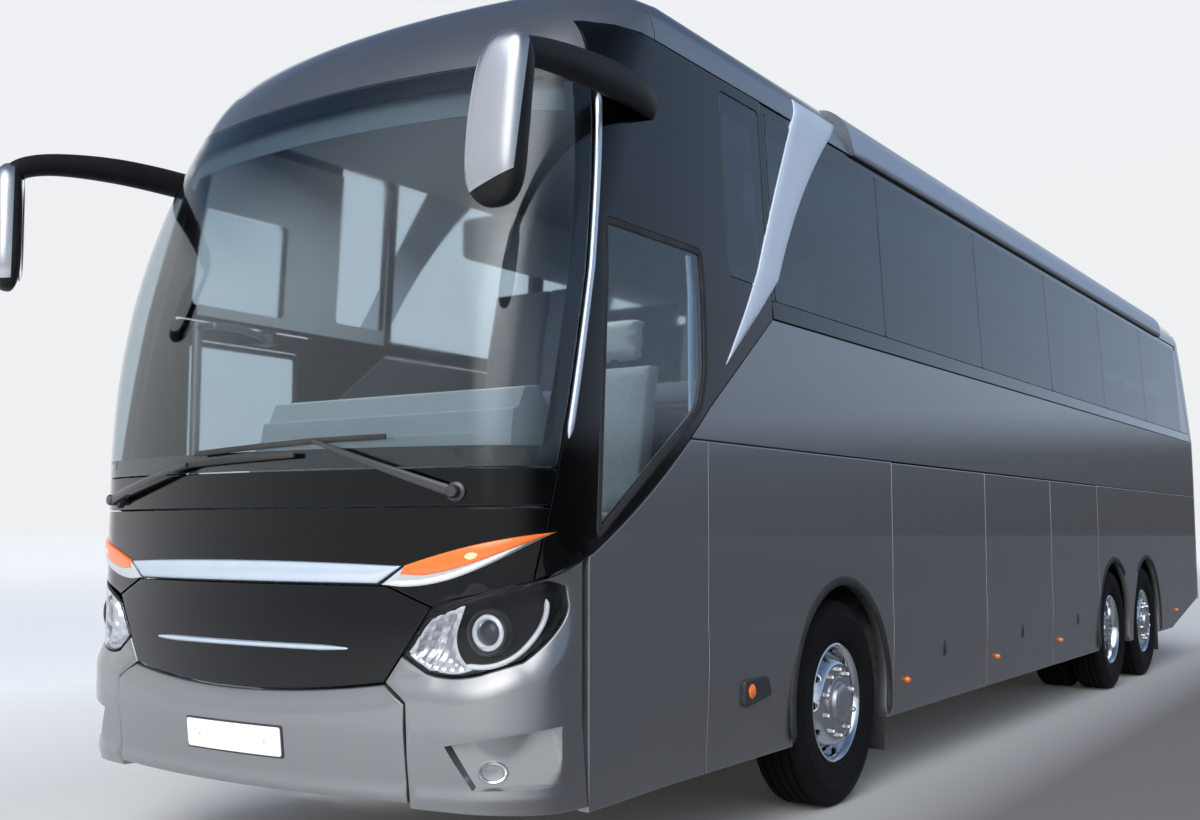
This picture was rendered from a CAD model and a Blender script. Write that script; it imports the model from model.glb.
import cmath
from math import acos, asin, atan2, copysign, cos, dist, pi, radians, sin, sqrt

import bmesh
import bpy
import numpy as np
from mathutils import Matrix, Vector, geometry


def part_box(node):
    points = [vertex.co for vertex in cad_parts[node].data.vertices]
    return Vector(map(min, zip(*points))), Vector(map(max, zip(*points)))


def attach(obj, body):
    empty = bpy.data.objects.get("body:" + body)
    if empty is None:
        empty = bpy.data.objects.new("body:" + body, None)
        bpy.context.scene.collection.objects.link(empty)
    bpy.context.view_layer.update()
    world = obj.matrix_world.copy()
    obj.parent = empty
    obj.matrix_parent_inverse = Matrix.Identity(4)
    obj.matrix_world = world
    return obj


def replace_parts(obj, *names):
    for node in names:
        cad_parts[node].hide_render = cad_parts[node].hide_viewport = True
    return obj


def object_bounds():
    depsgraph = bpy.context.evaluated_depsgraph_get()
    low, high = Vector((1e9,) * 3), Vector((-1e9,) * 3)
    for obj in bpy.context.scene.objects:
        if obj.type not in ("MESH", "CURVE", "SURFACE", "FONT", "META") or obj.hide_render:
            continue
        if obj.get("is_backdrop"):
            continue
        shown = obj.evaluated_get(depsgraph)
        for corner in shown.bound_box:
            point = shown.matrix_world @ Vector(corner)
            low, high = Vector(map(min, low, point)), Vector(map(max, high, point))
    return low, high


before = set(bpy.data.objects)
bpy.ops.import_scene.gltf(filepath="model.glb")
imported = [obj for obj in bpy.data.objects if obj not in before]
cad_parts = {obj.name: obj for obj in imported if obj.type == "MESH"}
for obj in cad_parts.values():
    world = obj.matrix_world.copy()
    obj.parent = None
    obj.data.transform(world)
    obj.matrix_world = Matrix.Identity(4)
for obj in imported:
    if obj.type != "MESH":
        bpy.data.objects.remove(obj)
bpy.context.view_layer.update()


# ---- Camera ----
# It stands ahead of the coach's left front corner at a grown person's height,
# close enough for the long side to run away steeply.
NOSE_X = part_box("front_bumper")[1].x
EYE = Vector((NOSE_X + 3.558, 4.061, 1.414))
EYE_TURN = radians(33.665)       # off the coach's own axis
EYE_RISE = radians(5.186)

look = Vector((-cos(EYE_TURN) * cos(EYE_RISE), -sin(EYE_TURN) * cos(EYE_RISE), sin(EYE_RISE)))
camera = bpy.data.objects.new("camera", bpy.data.cameras.new("camera"))
bpy.context.scene.collection.objects.link(camera)
camera.location = EYE
camera.rotation_euler = look.to_track_quat("-Z", "Y").to_euler()
camera.data.sensor_width = 36.0
camera.data.lens = 39.66
bpy.context.scene.camera = camera
bpy.context.scene.view_settings.view_transform = "Standard"


# ---- Studio ----
# A pale floor in a plain room that is bright ahead of the nose, pale behind and to the right,
# and on the left a dark low band under a clear sky, for the long side to mirror.
def feed(made, inputs):
    """Fill in a node's inputs. One given as a socket is linked, anything else is set."""
    for key, value in inputs.items():
        if isinstance(value, bpy.types.NodeSocket):
            made.id_data.links.new(value, made.inputs[key])
        else:
            made.inputs[key].default_value = value
    return made


def node(tree, kind, inputs=None, **settings):
    made = tree.nodes.new("ShaderNode" + kind)
    for key, value in settings.items():
        setattr(made, key, value)
    return feed(made, inputs or {})


def maths(tree, operation, *values, clamp=False):
    return node(tree, "Math", dict(enumerate(values)), operation=operation, use_clamp=clamp).outputs[0]


def spread(tree, value, low, high, to_low=0.0, to_high=1.0, smooth=False):
    """A value whose range from low to high is stretched to another one."""
    inputs = {"Value": value, "From Min": low, "From Max": high, "To Min": to_low, "To Max": to_high}
    return node(tree, "MapRange", inputs, interpolation_type="SMOOTHSTEP" if smooth else "LINEAR").outputs[0]


def mixed(tree, share, first, second, blend="MIX"):
    return node(tree, "Mix", {0: share, 6: first, 7: second}, data_type="RGBA", blend_type=blend).outputs[2]


world = bpy.data.worlds.new("room")
bpy.context.scene.world = world
world.use_nodes = True
room = world.node_tree
room.nodes.clear()
sight = node(room, "TexCoord").outputs["Generated"]
direction = node(room, "SeparateXYZ", {0: sight}).outputs
rise = spread(room, direction["Z"], -0.25, 1.0)


def by_rise(stops):
    """A colour that changes with the height of the line of sight (its sine)."""
    ramp = room.nodes.new("ShaderNodeValToRGB")
    room.links.new(rise, ramp.inputs[0])
    elements = ramp.color_ramp.elements
    while len(elements) < len(stops):
        elements.new(0.5)
    for element, (height, colour) in zip(elements, stops):
        element.position = (height + 0.25) / 1.25
        element.color = (*colour, 1)
    return ramp.outputs[0]


beside = by_rise([(-0.06, (0.060, 0.060, 0.064)), (0.055, (0.064, 0.062, 0.062)), (0.085, (0.50, 0.60, 0.75)),
                  (0.35, (0.34, 0.47, 0.68)), (0.80, (0.11, 0.16, 0.27))])
ahead = by_rise([(-0.14, (0.30, 0.31, 0.32)), (0.00, (0.90, 0.92, 0.95)), (0.30, (0.95, 1.02, 1.10)),
                 (0.62, (0.90, 0.98, 1.10)), (0.80, (1.2, 1.3, 1.4)), (0.96, (1.0, 1.1, 1.2))])
behind = by_rise([(-0.10, (0.86, 0.87, 0.88)), (0.41, (0.86, 0.88, 0.90)), (0.50, (0.14, 0.20, 0.32)),
                  (0.60, (0.07, 0.11, 0.20))])
away_from_nose = mixed(room, spread(room, direction["Y"], -0.06, 0.14, smooth=True), behind, beside)
all_round = mixed(room, spread(room, direction["X"], 0.12, 0.70, smooth=True), away_from_nose, ahead)
glow = 0.0
for glow_at, edge, strength in (((0.80, 0.42, 0.42), 0.90, 2.2), ((0.62, 0.22, 0.75), 0.86, 3.0)):
    facing = node(room, "VectorMath", {0: sight, 1: Vector(glow_at).normalized()}, operation="DOT_PRODUCT")
    bloom = spread(room, facing.outputs["Value"], edge, 1.0, 0.0, strength, smooth=True)
    glow = maths(room, "ADD", bloom, glow)
lit = node(room, "VectorMath", {0: (1.0, 0.98, 0.95), 3: glow}, operation="SCALE").outputs[0]
bright = node(room, "VectorMath", {0: all_round, 1: lit}, operation="ADD").outputs[0]
node(room, "OutputWorld",
     {"Surface": node(room, "Background", {"Color": bright, "Strength": 1.0}).outputs[0]})


def lamp(name, place, target, size, power, colour):
    data = bpy.data.lights.new(name, "AREA")
    data.shape = "RECTANGLE"
    data.size, data.size_y = size
    data.energy = power
    data.color = colour
    made = bpy.data.objects.new(name, data)
    made.location = place
    made.rotation_euler = (Vector(target) - Vector(place)).to_track_quat("-Z", "Y").to_euler()
    made.visible_glossy = False
    made.visible_transmission = False
    made.visible_camera = False
    bpy.context.scene.collection.objects.link(made)


lamp("front_lamp", (17.0, 3.0, 7.0), (6.0, 0.0, 1.4), (7.0, 4.0), 1150.0, (1.0, 0.98, 0.95))
lamp("cab_lamp", (5.1, 0.1, 3.36), (5.5, 0.2, 1.6), (1.2, 1.4), 40.0, (1.0, 0.99, 0.97))
lamp("roof_lamp", (0.0, 0.0, 13.0), (0.0, 0.0, 2.0), (14.0, 6.0), 160.0, (0.95, 0.98, 1.0))

floor_mesh = bpy.data.meshes.new("floor")
FLOOR_REACH = 300.0
floor_mesh.from_pydata([(x, y, -0.001) for x, y in (
    (-FLOOR_REACH, -FLOOR_REACH), (FLOOR_REACH, -FLOOR_REACH), (FLOOR_REACH, FLOOR_REACH),
    (-FLOOR_REACH, FLOOR_REACH))], [], [(0, 1, 2, 3)])
floor = bpy.data.objects.new("floor", floor_mesh)
bpy.context.scene.collection.objects.link(floor)
floor_paint = bpy.data.materials.new("studio_floor")
floor_paint.use_nodes = True
floor_tree = floor_paint.node_tree
paths = node(floor_tree, "LightPath").outputs
plainly = maths(floor_tree, "MAXIMUM", paths["Is Camera Ray"], paths["Is Glossy Ray"])
plainly = maths(floor_tree, "MAXIMUM", plainly, paths["Is Transmission Ray"])
on_floor = node(floor_tree, "TexCoord").outputs["Object"]
spot = node(floor_tree, "SeparateXYZ", {0: on_floor}).outputs
lane = maths(floor_tree, "MULTIPLY_ADD", spread(floor_tree, spot["Y"], 0.9, 2.0), 0.60, 0.40)
lane = maths(floor_tree, "MULTIPLY", lane, spread(floor_tree, spot["Y"], -7.0, -2.5))
lane = maths(floor_tree, "MULTIPLY", lane, spread(floor_tree, spot["X"], 8.6, 6.6))
open_floor = mixed(floor_tree, plainly, (0.34, 0.34, 0.35, 1), (0.84, 0.85, 0.86, 1))
from_middle = node(floor_tree, "VectorMath", {0: on_floor}, operation="LENGTH").outputs["Value"]
far_off = spread(floor_tree, from_middle, 10.0, 40.0, 0.03, 0.21)
far_off = maths(floor_tree, "MULTIPLY", far_off, maths(floor_tree, "SUBTRACT", 1.0, lane))
feed(floor_tree.nodes["Principled BSDF"], {
    "Base Color": mixed(floor_tree, lane, open_floor, (0.17, 0.17, 0.175, 1)), "Roughness": 0.9,
    "Specular IOR Level": 0.0, "Emission Color": (1.0, 0.86, 0.68, 1),
    "Emission Strength": maths(floor_tree, "MULTIPLY", plainly, far_off)})
floor_mesh.materials.append(floor_paint)
floor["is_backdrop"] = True


# ---- Front bumper ----
# Moulded bumper in three pieces: a centre panel with the blank number plate and two corners
# that wrap round to the sides. Its upper edge swells out into a shoulder under the lamps.
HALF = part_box("skirt_left")[1].y
TOP_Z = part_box("roof")[1].z
tyre_low, tyre_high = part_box("tyre_front_left")
AXLE_X = (tyre_low.x + tyre_high.x) / 2
UPRIGHT_Z = 1.65                      # the nose leans back above this level
EAVES_Z = 3.5
BELT_Z = 2.42
EAVES_LEAN = 0.06
EAVES_RADIUS = 0.3
CROWN = 0.08
PANEL = 0.05


def leaning(z, upright, radius, bend):
    """How far an end has gone back at level z: upright, a large arc, then the roof's arc."""
    at_bend = radius - sqrt(radius ** 2 - (bend - upright) ** 2)
    sine = (bend - upright) / radius
    cap = (TOP_Z - bend) / (1 - sine)
    arc = radius - np.sqrt(np.maximum(radius ** 2 - np.clip(z - upright, 0, radius) ** 2, 0))
    rise = np.clip((z - (TOP_Z - cap)) / cap, 0, 1)
    over = at_bend + cap * (sqrt(1 - sine ** 2) - np.sqrt(1 - rise ** 2))
    return np.where(z <= bend, arc, over)


def half_width(z):
    eaves = HALF - EAVES_LEAN
    flat = eaves - EAVES_RADIUS
    side = HALF - EAVES_LEAN * np.clip((z - BELT_Z) / (EAVES_Z - BELT_Z), 0, 1)
    corner = flat + np.sqrt(np.maximum(EAVES_RADIUS ** 2 - np.clip(z - EAVES_Z, 0, 1) ** 2, 0))
    crown = flat * np.sqrt(np.maximum(TOP_Z - z, 0) / CROWN)
    return np.where(z <= EAVES_Z, side, np.where(z < TOP_Z - CROWN, corner, np.maximum(crown, 0.05)))


def nose_x(z):
    tuck = 0.04 * np.clip(0.7 - z, 0, 1) / 0.32
    return NOSE_X - tuck - leaning(z, UPRIGHT_Z, 3.3, 3.35)


class BodyEnd:
    """The nose or the tail in plan: one wide arc, two corner arcs and the start of the sides.
    A place on it is s, the way round from the middle (left is positive), and the level z."""

    def __init__(self, sign, reach, radius, corner):
        self.sign, self.reach, self.radius, self.corner = sign, reach, radius, corner

    def plan(self, z):
        half = half_width(z)
        corner = np.minimum(self.corner, 0.8 * half)
        centre = self.reach(z) - self.sign * self.radius
        corner_y = half - corner
        corner_run = np.sqrt((self.radius - corner) ** 2 - corner_y ** 2)
        turn = np.arctan2(corner_y, corner_run)
        return centre, centre + self.sign * corner_run, corner_y, corner, turn

    def place(self, s, z, out=0.0):
        s, z, out = np.broadcast_arrays(np.asarray(s, float), np.asarray(z, float), np.asarray(out, float))
        centre, corner_x, corner_y, corner, turn = self.plan(z)
        along = np.abs(s)
        wide = self.radius * turn
        bend = corner * (pi / 2 - turn)
        angle = np.where(along <= wide, along / self.radius, turn + (along - wide) / corner)
        angle = np.minimum(angle, pi / 2)
        middle_x = np.where(along <= wide, centre, corner_x)
        middle_y = np.where(along <= wide, 0.0, corner_y)
        reach = np.where(along <= wide, self.radius, corner) + out
        run = np.maximum(along - wide - bend, 0.0)
        x = middle_x + self.sign * (reach * np.cos(angle) - run)
        y = middle_y + reach * np.sin(angle)
        return np.stack([x, np.where(s < 0, -y, y), z], axis=-1)

    def from_y(self, y, z):
        centre, corner_x, corner_y, corner, turn = (float(v) for v in self.plan(z))
        wide = self.radius * turn
        if abs(y) <= self.radius * sin(turn):
            s = self.radius * asin(abs(y) / self.radius)
        else:
            s = wide + corner * (asin(min(1.0, (abs(y) - corner_y) / corner)) - turn)
        return copysign(s, y)

    def from_x(self, x, z, side):
        centre, corner_x, corner_y, corner, turn = (float(v) for v in self.plan(z))
        wide = self.radius * turn
        ahead = self.sign * (x - corner_x)
        if ahead <= 0:
            s = wide + corner * (pi / 2 - turn) - ahead
        elif ahead < corner * cos(turn):
            s = wide + corner * (acos(ahead / corner) - turn)
        else:
            s = self.radius * acos(min(1.0, self.sign * (x - centre) / self.radius))
        return side * s


nose = BodyEnd(1.0, nose_x, 3.6, 0.42)


def through(a, b, c, step):
    """Points from a towards c on the circle through a, b and c, leaving c out."""
    a, b, c = (complex(*p) for p in (a, b, c))
    ratio = (c - a) / (b - a)
    centre = a + (b - a) * (ratio - abs(ratio) ** 2) / (2j * ratio.imag)
    radius = abs(a - centre)
    start, middle, end = (cmath.phase(p - centre) for p in (a, b, c))
    sweep = (end - start) % (2 * pi)
    if (middle - start) % (2 * pi) > sweep:
        sweep -= 2 * pi
    count = max(2, int(abs(sweep) * radius / step))
    turns = [start + sweep * i / count for i in range(count)]
    return [(centre.real + radius * cos(t), centre.imag + radius * sin(t)) for t in turns]


def traced(points, step=0.03):
    """A closed outline made dense. A point with a third value is the middle of an arc."""
    dense = []
    i = 0
    while i < len(points):
        here, after = points[i], points[(i + 1) % len(points)]
        if len(after) == 3:
            dense += through(here, after[:2], points[(i + 2) % len(points)][:2], step)
            i += 2
            continue
        count = max(1, int(dist(here, after) / step))
        dense += [(here[0] + (after[0] - here[0]) * k / count, here[1] + (after[1] - here[1]) * k / count)
                  for k in range(count)]
        i += 1
    return dense


def front_view(points, end=nose, step=0.03):
    """An outline drawn from the front or the back (y, z), laid on the body."""
    return [(end.from_y(y, z), z) for y, z in traced(points, step)]


def area_of(ring):
    a = np.array(ring)
    b = np.roll(a, -1, axis=0)
    return 0.5 * float(np.sum(a[:, 0] * b[:, 1] - b[:, 0] * a[:, 1]))


def shrunk(ring, distance):
    """The ring moved to its left by a distance, as a tailor's inner line."""
    a = np.array(ring)
    before, after = a - np.roll(a, 1, axis=0), np.roll(a, -1, axis=0) - a
    before /= np.maximum(np.linalg.norm(before, axis=1, keepdims=True), 1e-9)
    after /= np.maximum(np.linalg.norm(after, axis=1, keepdims=True), 1e-9)
    n1 = np.stack([-before[:, 1], before[:, 0]], 1)
    n2 = np.stack([-after[:, 1], after[:, 0]], 1)
    share = np.maximum(1 + np.sum(n1 * n2, axis=1, keepdims=True), 0.35)
    return a + distance * (n1 + n2) / share


def set_in(ring, distance):
    """A closed outline drawn smaller all round."""
    return [tuple(p) for p in shrunk(ring if area_of(ring) > 0 else ring[::-1], distance)]


def inside(points, ring):
    a = np.array(ring)
    b = np.roll(a, -1, axis=0)
    px, py = points[:, 0][:, None], points[:, 1][:, None]
    crosses = (a[:, 1] > py) != (b[:, 1] > py)
    rise = np.where(np.abs(b[:, 1] - a[:, 1]) < 1e-12, 1e-12, b[:, 1] - a[:, 1])
    at = (b[:, 0] - a[:, 0]) * (py - a[:, 1]) / rise + a[:, 0]
    return (np.sum(crosses & (px < at), axis=1) % 2) == 1


def away(points, line, closed=False):
    """Distance of every flat point from a drawn line."""
    a = np.array(line, float)
    b = np.roll(a, -1, axis=0) if closed else a[1:]
    a = a[:len(b)]
    run = b - a
    length = np.maximum(np.sum(run ** 2, axis=1), 1e-12)
    best = np.full(len(points), 1e9)
    for start, step, size in zip(a, run, length):
        t = np.clip(((points - start) @ step) / size, 0, 1)
        best = np.minimum(best, np.linalg.norm(points - start - t[:, None] * step, axis=1))
    return best


def depth_in(points, ring):
    """How far inside a closed outline every flat point lies, 0 outside."""
    return np.where(inside(points, ring), away(points, ring, True), 0.0)


def cut_sheet(outline, holes, grid, rim, creases=()):
    """Triangles filling an outline less its holes, with close rings along every edge and
    mesh edges along the creases. Gives flat points, how far each is rolled back and the triangles."""
    rings = [outline if area_of(outline) > 0 else outline[::-1]]
    rings += [hole if area_of(hole) < 0 else hole[::-1] for hole in holes]
    points, rolled, edges = [], [], []
    for ring in rings:
        for depth, back in ((0.0, 1.0), (0.4, 0.2), (1.0, 0.0), (1.8, 0.0)):
            start = len(points)
            loop = np.array(ring) if depth == 0 else shrunk(ring, depth * rim)
            points += [tuple(p) for p in loop]
            rolled += [back * rim] * len(loop)
            edges += [(start + i, start + (i + 1) % len(loop)) for i in range(len(loop))]
    for crease in creases:
        start = len(points)
        points += [tuple(p) for p in crease]
        rolled += [0.0] * len(crease)
        edges += [(start + i, start + i + 1) for i in range(len(crease) - 1)]
    low, high = np.min(rings[0], axis=0), np.max(rings[0], axis=0)
    counts = np.maximum(2, np.ceil((high - low) / np.array(grid))).astype(int)
    gx, gy = np.meshgrid(np.linspace(low[0], high[0], counts[0] + 1),
                         np.linspace(low[1], high[1], counts[1] + 1))
    inner = np.stack([gx.ravel(), gy.ravel()], 1)
    margin = 3.0 * rim
    keep = inside(inner, shrunk(rings[0], margin))
    for ring in rings[1:]:
        keep &= ~inside(inner, shrunk(ring, margin))
    for crease in creases:
        keep &= away(inner, crease) > 0.3 * min(grid)
    points += [tuple(p) for p in inner[keep]]
    rolled += [0.0] * int(keep.sum())
    made = geometry.delaunay_2d_cdt([Vector(p) for p in points], edges, [], 0, 1e-6)
    flat = np.array([tuple(v) for v in made[0]])
    back = np.array([max((rolled[k] for k in source), default=0.0) for source in made[3]])
    faces = np.array(made[2])
    middle = flat[faces].mean(axis=1)
    keep = inside(middle, rings[0])
    for ring in rings[1:]:
        keep &= ~inside(middle, ring)
    return flat, back, faces[keep]


def edge_loops(faces):
    """The directed edges that only one triangle has."""
    directed = {(f[i], f[(i + 1) % 3]) for f in faces.tolist() for i in range(3)}
    return [e for e in directed if (e[1], e[0]) not in directed]


def show(name, solid, material, sharp=40.0, body="coach_body", at=(0, 0, 0)):
    """Make a named piece from points and faces, give it its finish and let it ride."""
    mesh = bpy.data.meshes.new(name)
    mesh.from_pydata([tuple(v) for v in solid[0]], [], [tuple(f) for f in solid[1]])
    mesh.validate()
    mesh.shade_smooth()
    mesh.set_sharp_from_angle(angle=radians(sharp))
    mesh.materials.append(material)
    made = bpy.data.objects.new(name, mesh)
    bpy.context.scene.collection.objects.link(made)
    made.location = at
    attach(made, body)
    return made


def closed(outer, inner, faces):
    """A solid between two skins of the same triangles, shut along every edge."""
    count = len(outer)
    solid = [tuple(f) for f in faces.tolist()]
    solid += [tuple(i + count for i in f[::-1]) for f in faces.tolist()]
    solid += [(b, a, a + count, b + count) for a, b in edge_loops(faces)]
    return np.concatenate([outer, inner]), solid


def sheet(end, outline, holes=(), grid=(0.2, 0.1), rim=0.003, base=0.0, thick=PANEL, form=None, creases=()):
    """A closed panel that lies on the body: points and faces."""
    flat, back, faces = cut_sheet(outline, holes, grid, rim, creases)
    s, z = flat[:, 0], flat[:, 1]
    swell = np.zeros(len(s)) if form is None else form(s, z, end.place(s, z))
    outer = end.place(s, z, base + swell - back)
    inner = end.place(s, z, base + np.minimum(swell, 0.0) - thick)
    return closed(outer, inner, faces if end.sign > 0 else faces[:, ::-1])


def flipped(solid):
    """The same solid with its faces turned round."""
    return solid[0], [tuple(f[::-1]) for f in solid[1]]


def joined(solids):
    """Several solids as one list of points and faces."""
    verts, faces = [], []
    for points, polygons in solids:
        start = sum(len(v) for v in verts)
        verts.append(np.array(points, float).reshape(-1, 3))
        faces += [tuple(i + start for i in f) for f in polygons]
    return np.concatenate(verts), faces


def other_side(solid):
    """The same solid on the coach's other side."""
    return flipped((np.array(solid[0]) * (1, -1, 1), solid[1]))


def smooth_step(value, low, high):
    t = np.clip((value - low) / (high - low), 0, 1)
    return t * t * (3 - 2 * t)


GRILLE_FOOT = 0.808
SLOT_Y = 0.8
bumper_middle = front_view([
    (-SLOT_Y + 0.003, 0.44), (SLOT_Y - 0.003, 0.44), (SLOT_Y - 0.003, 0.79), (0.703, 0.853),
    (0.0, GRILLE_FOOT - 0.004, "arc"), (-0.703, 0.853), (-SLOT_Y + 0.003, 0.79)])
LAMP_OUTLINE = [(0.774, 0.963), (0.88, 1.105), (1.034, 1.166), (1.245, 1.24), (1.256, 1.214), (1.258, 1.17),
                (1.238, 1.036, "arc"), (1.177, 0.945), (1.069, 0.904), (0.97, 0.889, "arc"), (0.87, 0.902)]
MASK_FOOT = [(NOSE_X - 0.127, 1.162), (NOSE_X - 0.283, 1.224), (AXLE_X + 2.336, 1.331)]
SIDE_FRONT_X = AXLE_X + 2.373


def lamp_edge(low_y, high_z, gap):
    """The bumper's edge along the headlamp's lower and outer side, from the grille to the mask."""
    line = traced(LAMP_OUTLINE, 0.02)
    start = min(range(len(line)), key=lambda i: dist(line[i], (0.870, 0.902)))
    around = (line[start:] + line[:start])[::-1]
    around = [p for p in around if p[1] < high_z and p[0] > low_y]
    around.sort(key=lambda p: atan2(p[1] - 1.10, p[0] - 1.02))
    return [(nose.from_y(min(y + gap * (y > 1.1), 1.2745), z - gap), z - gap) for y, z in around]


SHOULDER = [(nose.from_y(y, z), z) for y, z in traced([
    (-0.706, 0.857), (0.0, GRILLE_FOOT, "arc"), (0.706, 0.857), (0.771, 0.957), (0.868, 0.897),
    (0.868, 0.8971)], 0.02)[:-1] if y >= -0.706]
SHOULDER = SHOULDER[:-2] + lamp_edge(0.87, 1.236, 0.004)


def bumper_corner():
    """Outline of the left corner piece, in body places."""
    ring = [(nose.from_y(y, z), z) for y, z in
            ((SLOT_Y + 0.003, 0.42), (SLOT_Y + 0.003, 0.60), (SLOT_Y + 0.003, 0.797), (0.706, 0.862),
             (0.771, 0.957), (0.868, 0.897))]
    ring += lamp_edge(0.88, 1.236, 0.004)
    ring += [(nose.from_x(x, z - 0.006, 1), z - 0.006) for x, z in traced(MASK_FOOT + [MASK_FOOT[-1]], 0.03)
             if x < NOSE_X - 0.25]
    rear = nose.from_x(SIDE_FRONT_X, 0.4, 1)
    ring += [(rear, z) for z in np.linspace(1.30, 0.40, 31)]
    ring += [(s, 0.4 + 0.02 * k)
             for k, s in zip(np.linspace(0, 1, 24), np.linspace(rear, ring[0][0], 25)[1:-1])]
    return ring


# Fog lamp pocket: folds on three sides, running out into the skin towards the wheel.
POCKET = [(nose.from_y(y, z), z) for y, z in
          traced([(0.950, 0.650), (1.035, 0.497), (1.245, 0.500), (1.250, 0.712)], 0.02)]
POCKET_FLOOR = set_in(POCKET, 0.007)
POCKET_FOLDS = [POCKET + POCKET[:1], POCKET_FLOOR + POCKET_FLOOR[:1]]


def bumper_form(s, z, place):
    """The shoulder under grille and lamps, a soft lip low down, and the fog lamps' pockets."""
    flat = np.stack([np.abs(s), z], 1)
    shoulder = 0.032 * np.sin(0.5 * pi * np.clip(away(flat, SHOULDER) / 0.085, 0, 1))
    lip = 0.007 * np.exp(-((z - 0.462) / 0.022) ** 2)
    swell = (shoulder + lip) * (1 - smooth_step(NOSE_X - place[:, 0], 0.34, 0.50))
    ends = nose.place([nose.from_y(0.950, 0.6), nose.from_y(1.245, 0.6)], 0.6, [0.010, 0.018])
    slope = (ends[0][0] - ends[1][0]) / (ends[1][1] - ends[0][1])
    skin = nose.place(np.abs(s), z, swell)
    normal = nose.place(np.abs(s), z, 1.0) - nose.place(np.abs(s), z, 0.0)
    proud = skin[:, 0] - ends[0][0] + slope * (skin[:, 1] - ends[0][1]) + 0.14 * (z - 0.56)
    deep = np.clip(proud / (normal[:, 0] + slope * normal[:, 1]), 0.0, 0.07)
    return swell - deep * np.clip(depth_in(flat, POCKET) / 0.007, 0, 1) * (skin[:, 1] > 0.9)


def finish_group(name, inputs, outputs):
    """A shader node group with named sockets: the tree, what its input node gives and its output node."""
    tree = bpy.data.node_groups.new(name, "ShaderNodeTree")
    kinds = {"Colour": "Color", "Normal": "Vector"}
    for way, names in (("INPUT", inputs), ("OUTPUT", outputs)):
        for socket in names.split():
            tree.interface.new_socket(socket, in_out=way,
                                      socket_type="NodeSocket" + kinds.get(socket, "Float"))
    return tree, tree.nodes.new("NodeGroupInput").outputs, tree.nodes.new("NodeGroupOutput")


def own_places(tree):
    return node(tree, "TexCoord").outputs["Object"]


def scaled(tree, where, scale):
    return node(tree, "Mapping", {"Vector": where, "Scale": scale}).outputs[0]


def noise(tree, where, scale, detail, roughness=0.5):
    values = {"Vector": where, "Scale": scale, "Detail": detail, "Roughness": roughness}
    return node(tree, "TexNoise", values).outputs[0]


def bumped(tree, height, strength, reach):
    return node(tree, "Bump", {"Height": height, "Strength": strength, "Distance": reach}).outputs[0]


# Road film: pale dust that thickens towards the ground, broken by noise, with dried runs.
film, given, put = finish_group("road_film", "Colour Roughness Amount Peel", "Colour Roughness Normal")
where = own_places(film)
level = node(film, "SeparateXYZ", {0: where}).outputs["Z"]
cloud = noise(film, where, 3.1, 9.0, 0.62)
runs = noise(film, scaled(film, where, (3.0, 3.0, 0.7)), 2.2, 6.0, 0.55)
patchy = spread(film, maths(film, "MULTIPLY", cloud, runs), 0.10, 0.55)
dust = maths(film, "MULTIPLY", spread(film, level, 0.15, 1.9, 1.0, 0.06, smooth=True), patchy)
dust = maths(film, "MULTIPLY", dust, given["Amount"], clamp=True)
rougher = maths(film, "MULTIPLY_ADD", dust, 0.45, given["Roughness"])
wavy = maths(film, "MULTIPLY_ADD", noise(film, where, 2.3, 1.0), 14.0, noise(film, where, 240.0, 2.0))
feed(put, {"Colour": mixed(film, dust, given["Colour"], (0.30, 0.285, 0.26, 1)),
           "Roughness": maths(film, "MULTIPLY_ADD", cloud, 0.06, rougher),
           "Normal": bumped(film, wavy, given["Peel"], 0.0006)})

# Metallic flake: fine cells that are a little lighter or darker than the paint.
flake, given, put = finish_group("metal_flake", "Colour Sparkle", "Colour Metallic")
where = own_places(flake)
cells = node(flake, "TexVoronoi", {"Vector": where, "Scale": 900.0}).outputs["Color"]
grey = node(flake, "SeparateColor", {0: cells}).outputs[0]
gain = maths(flake, "MULTIPLY_ADD", noise(flake, where, 0.9, 3.0), 0.12, spread(flake, grey, 0, 1, 0.86, 1.3))
gain = mixed(flake, given["Sparkle"], (1, 1, 1, 1), gain)
feed(put, {"Colour": mixed(flake, 1.0, given["Colour"], gain, "MULTIPLY"),
           "Metallic": spread(flake, grey, 0, 1, 0.78, 0.96)})


def grouped(tree, group, values):
    """Place a group in a material. Gives its outputs."""
    placed = tree.nodes.new("ShaderNodeGroup")
    placed.node_tree = group
    return feed(placed, values).outputs


def finish(name, **settings):
    """A new material and its shader, with the settings that are the same all over it."""
    material = bpy.data.materials.new(name)
    material.use_nodes = True
    shader = material.node_tree.nodes["Principled BSDF"]
    feed(shader, {key.replace("_", " "): value for key, value in settings.items()})
    return material, material.node_tree, shader


def body_paint(name, colour, sparkle, roughness, dirt, **settings):
    """Metallic base coat under clear lacquer, with road film over it."""
    material, tree, shader = finish(name, Coat_Weight=1.0, Coat_Roughness=0.03, **settings)
    flakes = grouped(tree, flake, {"Colour": (*colour, 1), "Sparkle": sparkle})
    over = grouped(tree, film, {"Colour": flakes["Colour"], "Roughness": roughness, "Amount": dirt,
                                "Peel": 0.12})
    feed(shader, {"Base Color": over["Colour"], "Roughness": over["Roughness"], "Normal": over["Normal"],
                  "Metallic": flakes["Metallic"]})
    return material


ANTHRACITE = (0.228, 0.233, 0.243)
coach_paint = body_paint("anthracite_paint", ANTHRACITE, 0.35, 0.30, 0.16)

corner = sheet(nose, bumper_corner(), grid=(0.018, 0.018), rim=0.004, thick=0.03, form=bumper_form,
               creases=POCKET_FOLDS)
middle = sheet(nose, bumper_middle, grid=(0.025, 0.018), rim=0.004, thick=0.03, form=bumper_form)
bumper = show("bumper", joined([corner, other_side(corner), middle]), coach_paint, 50.0)
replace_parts(bumper, "front_bumper")


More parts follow.
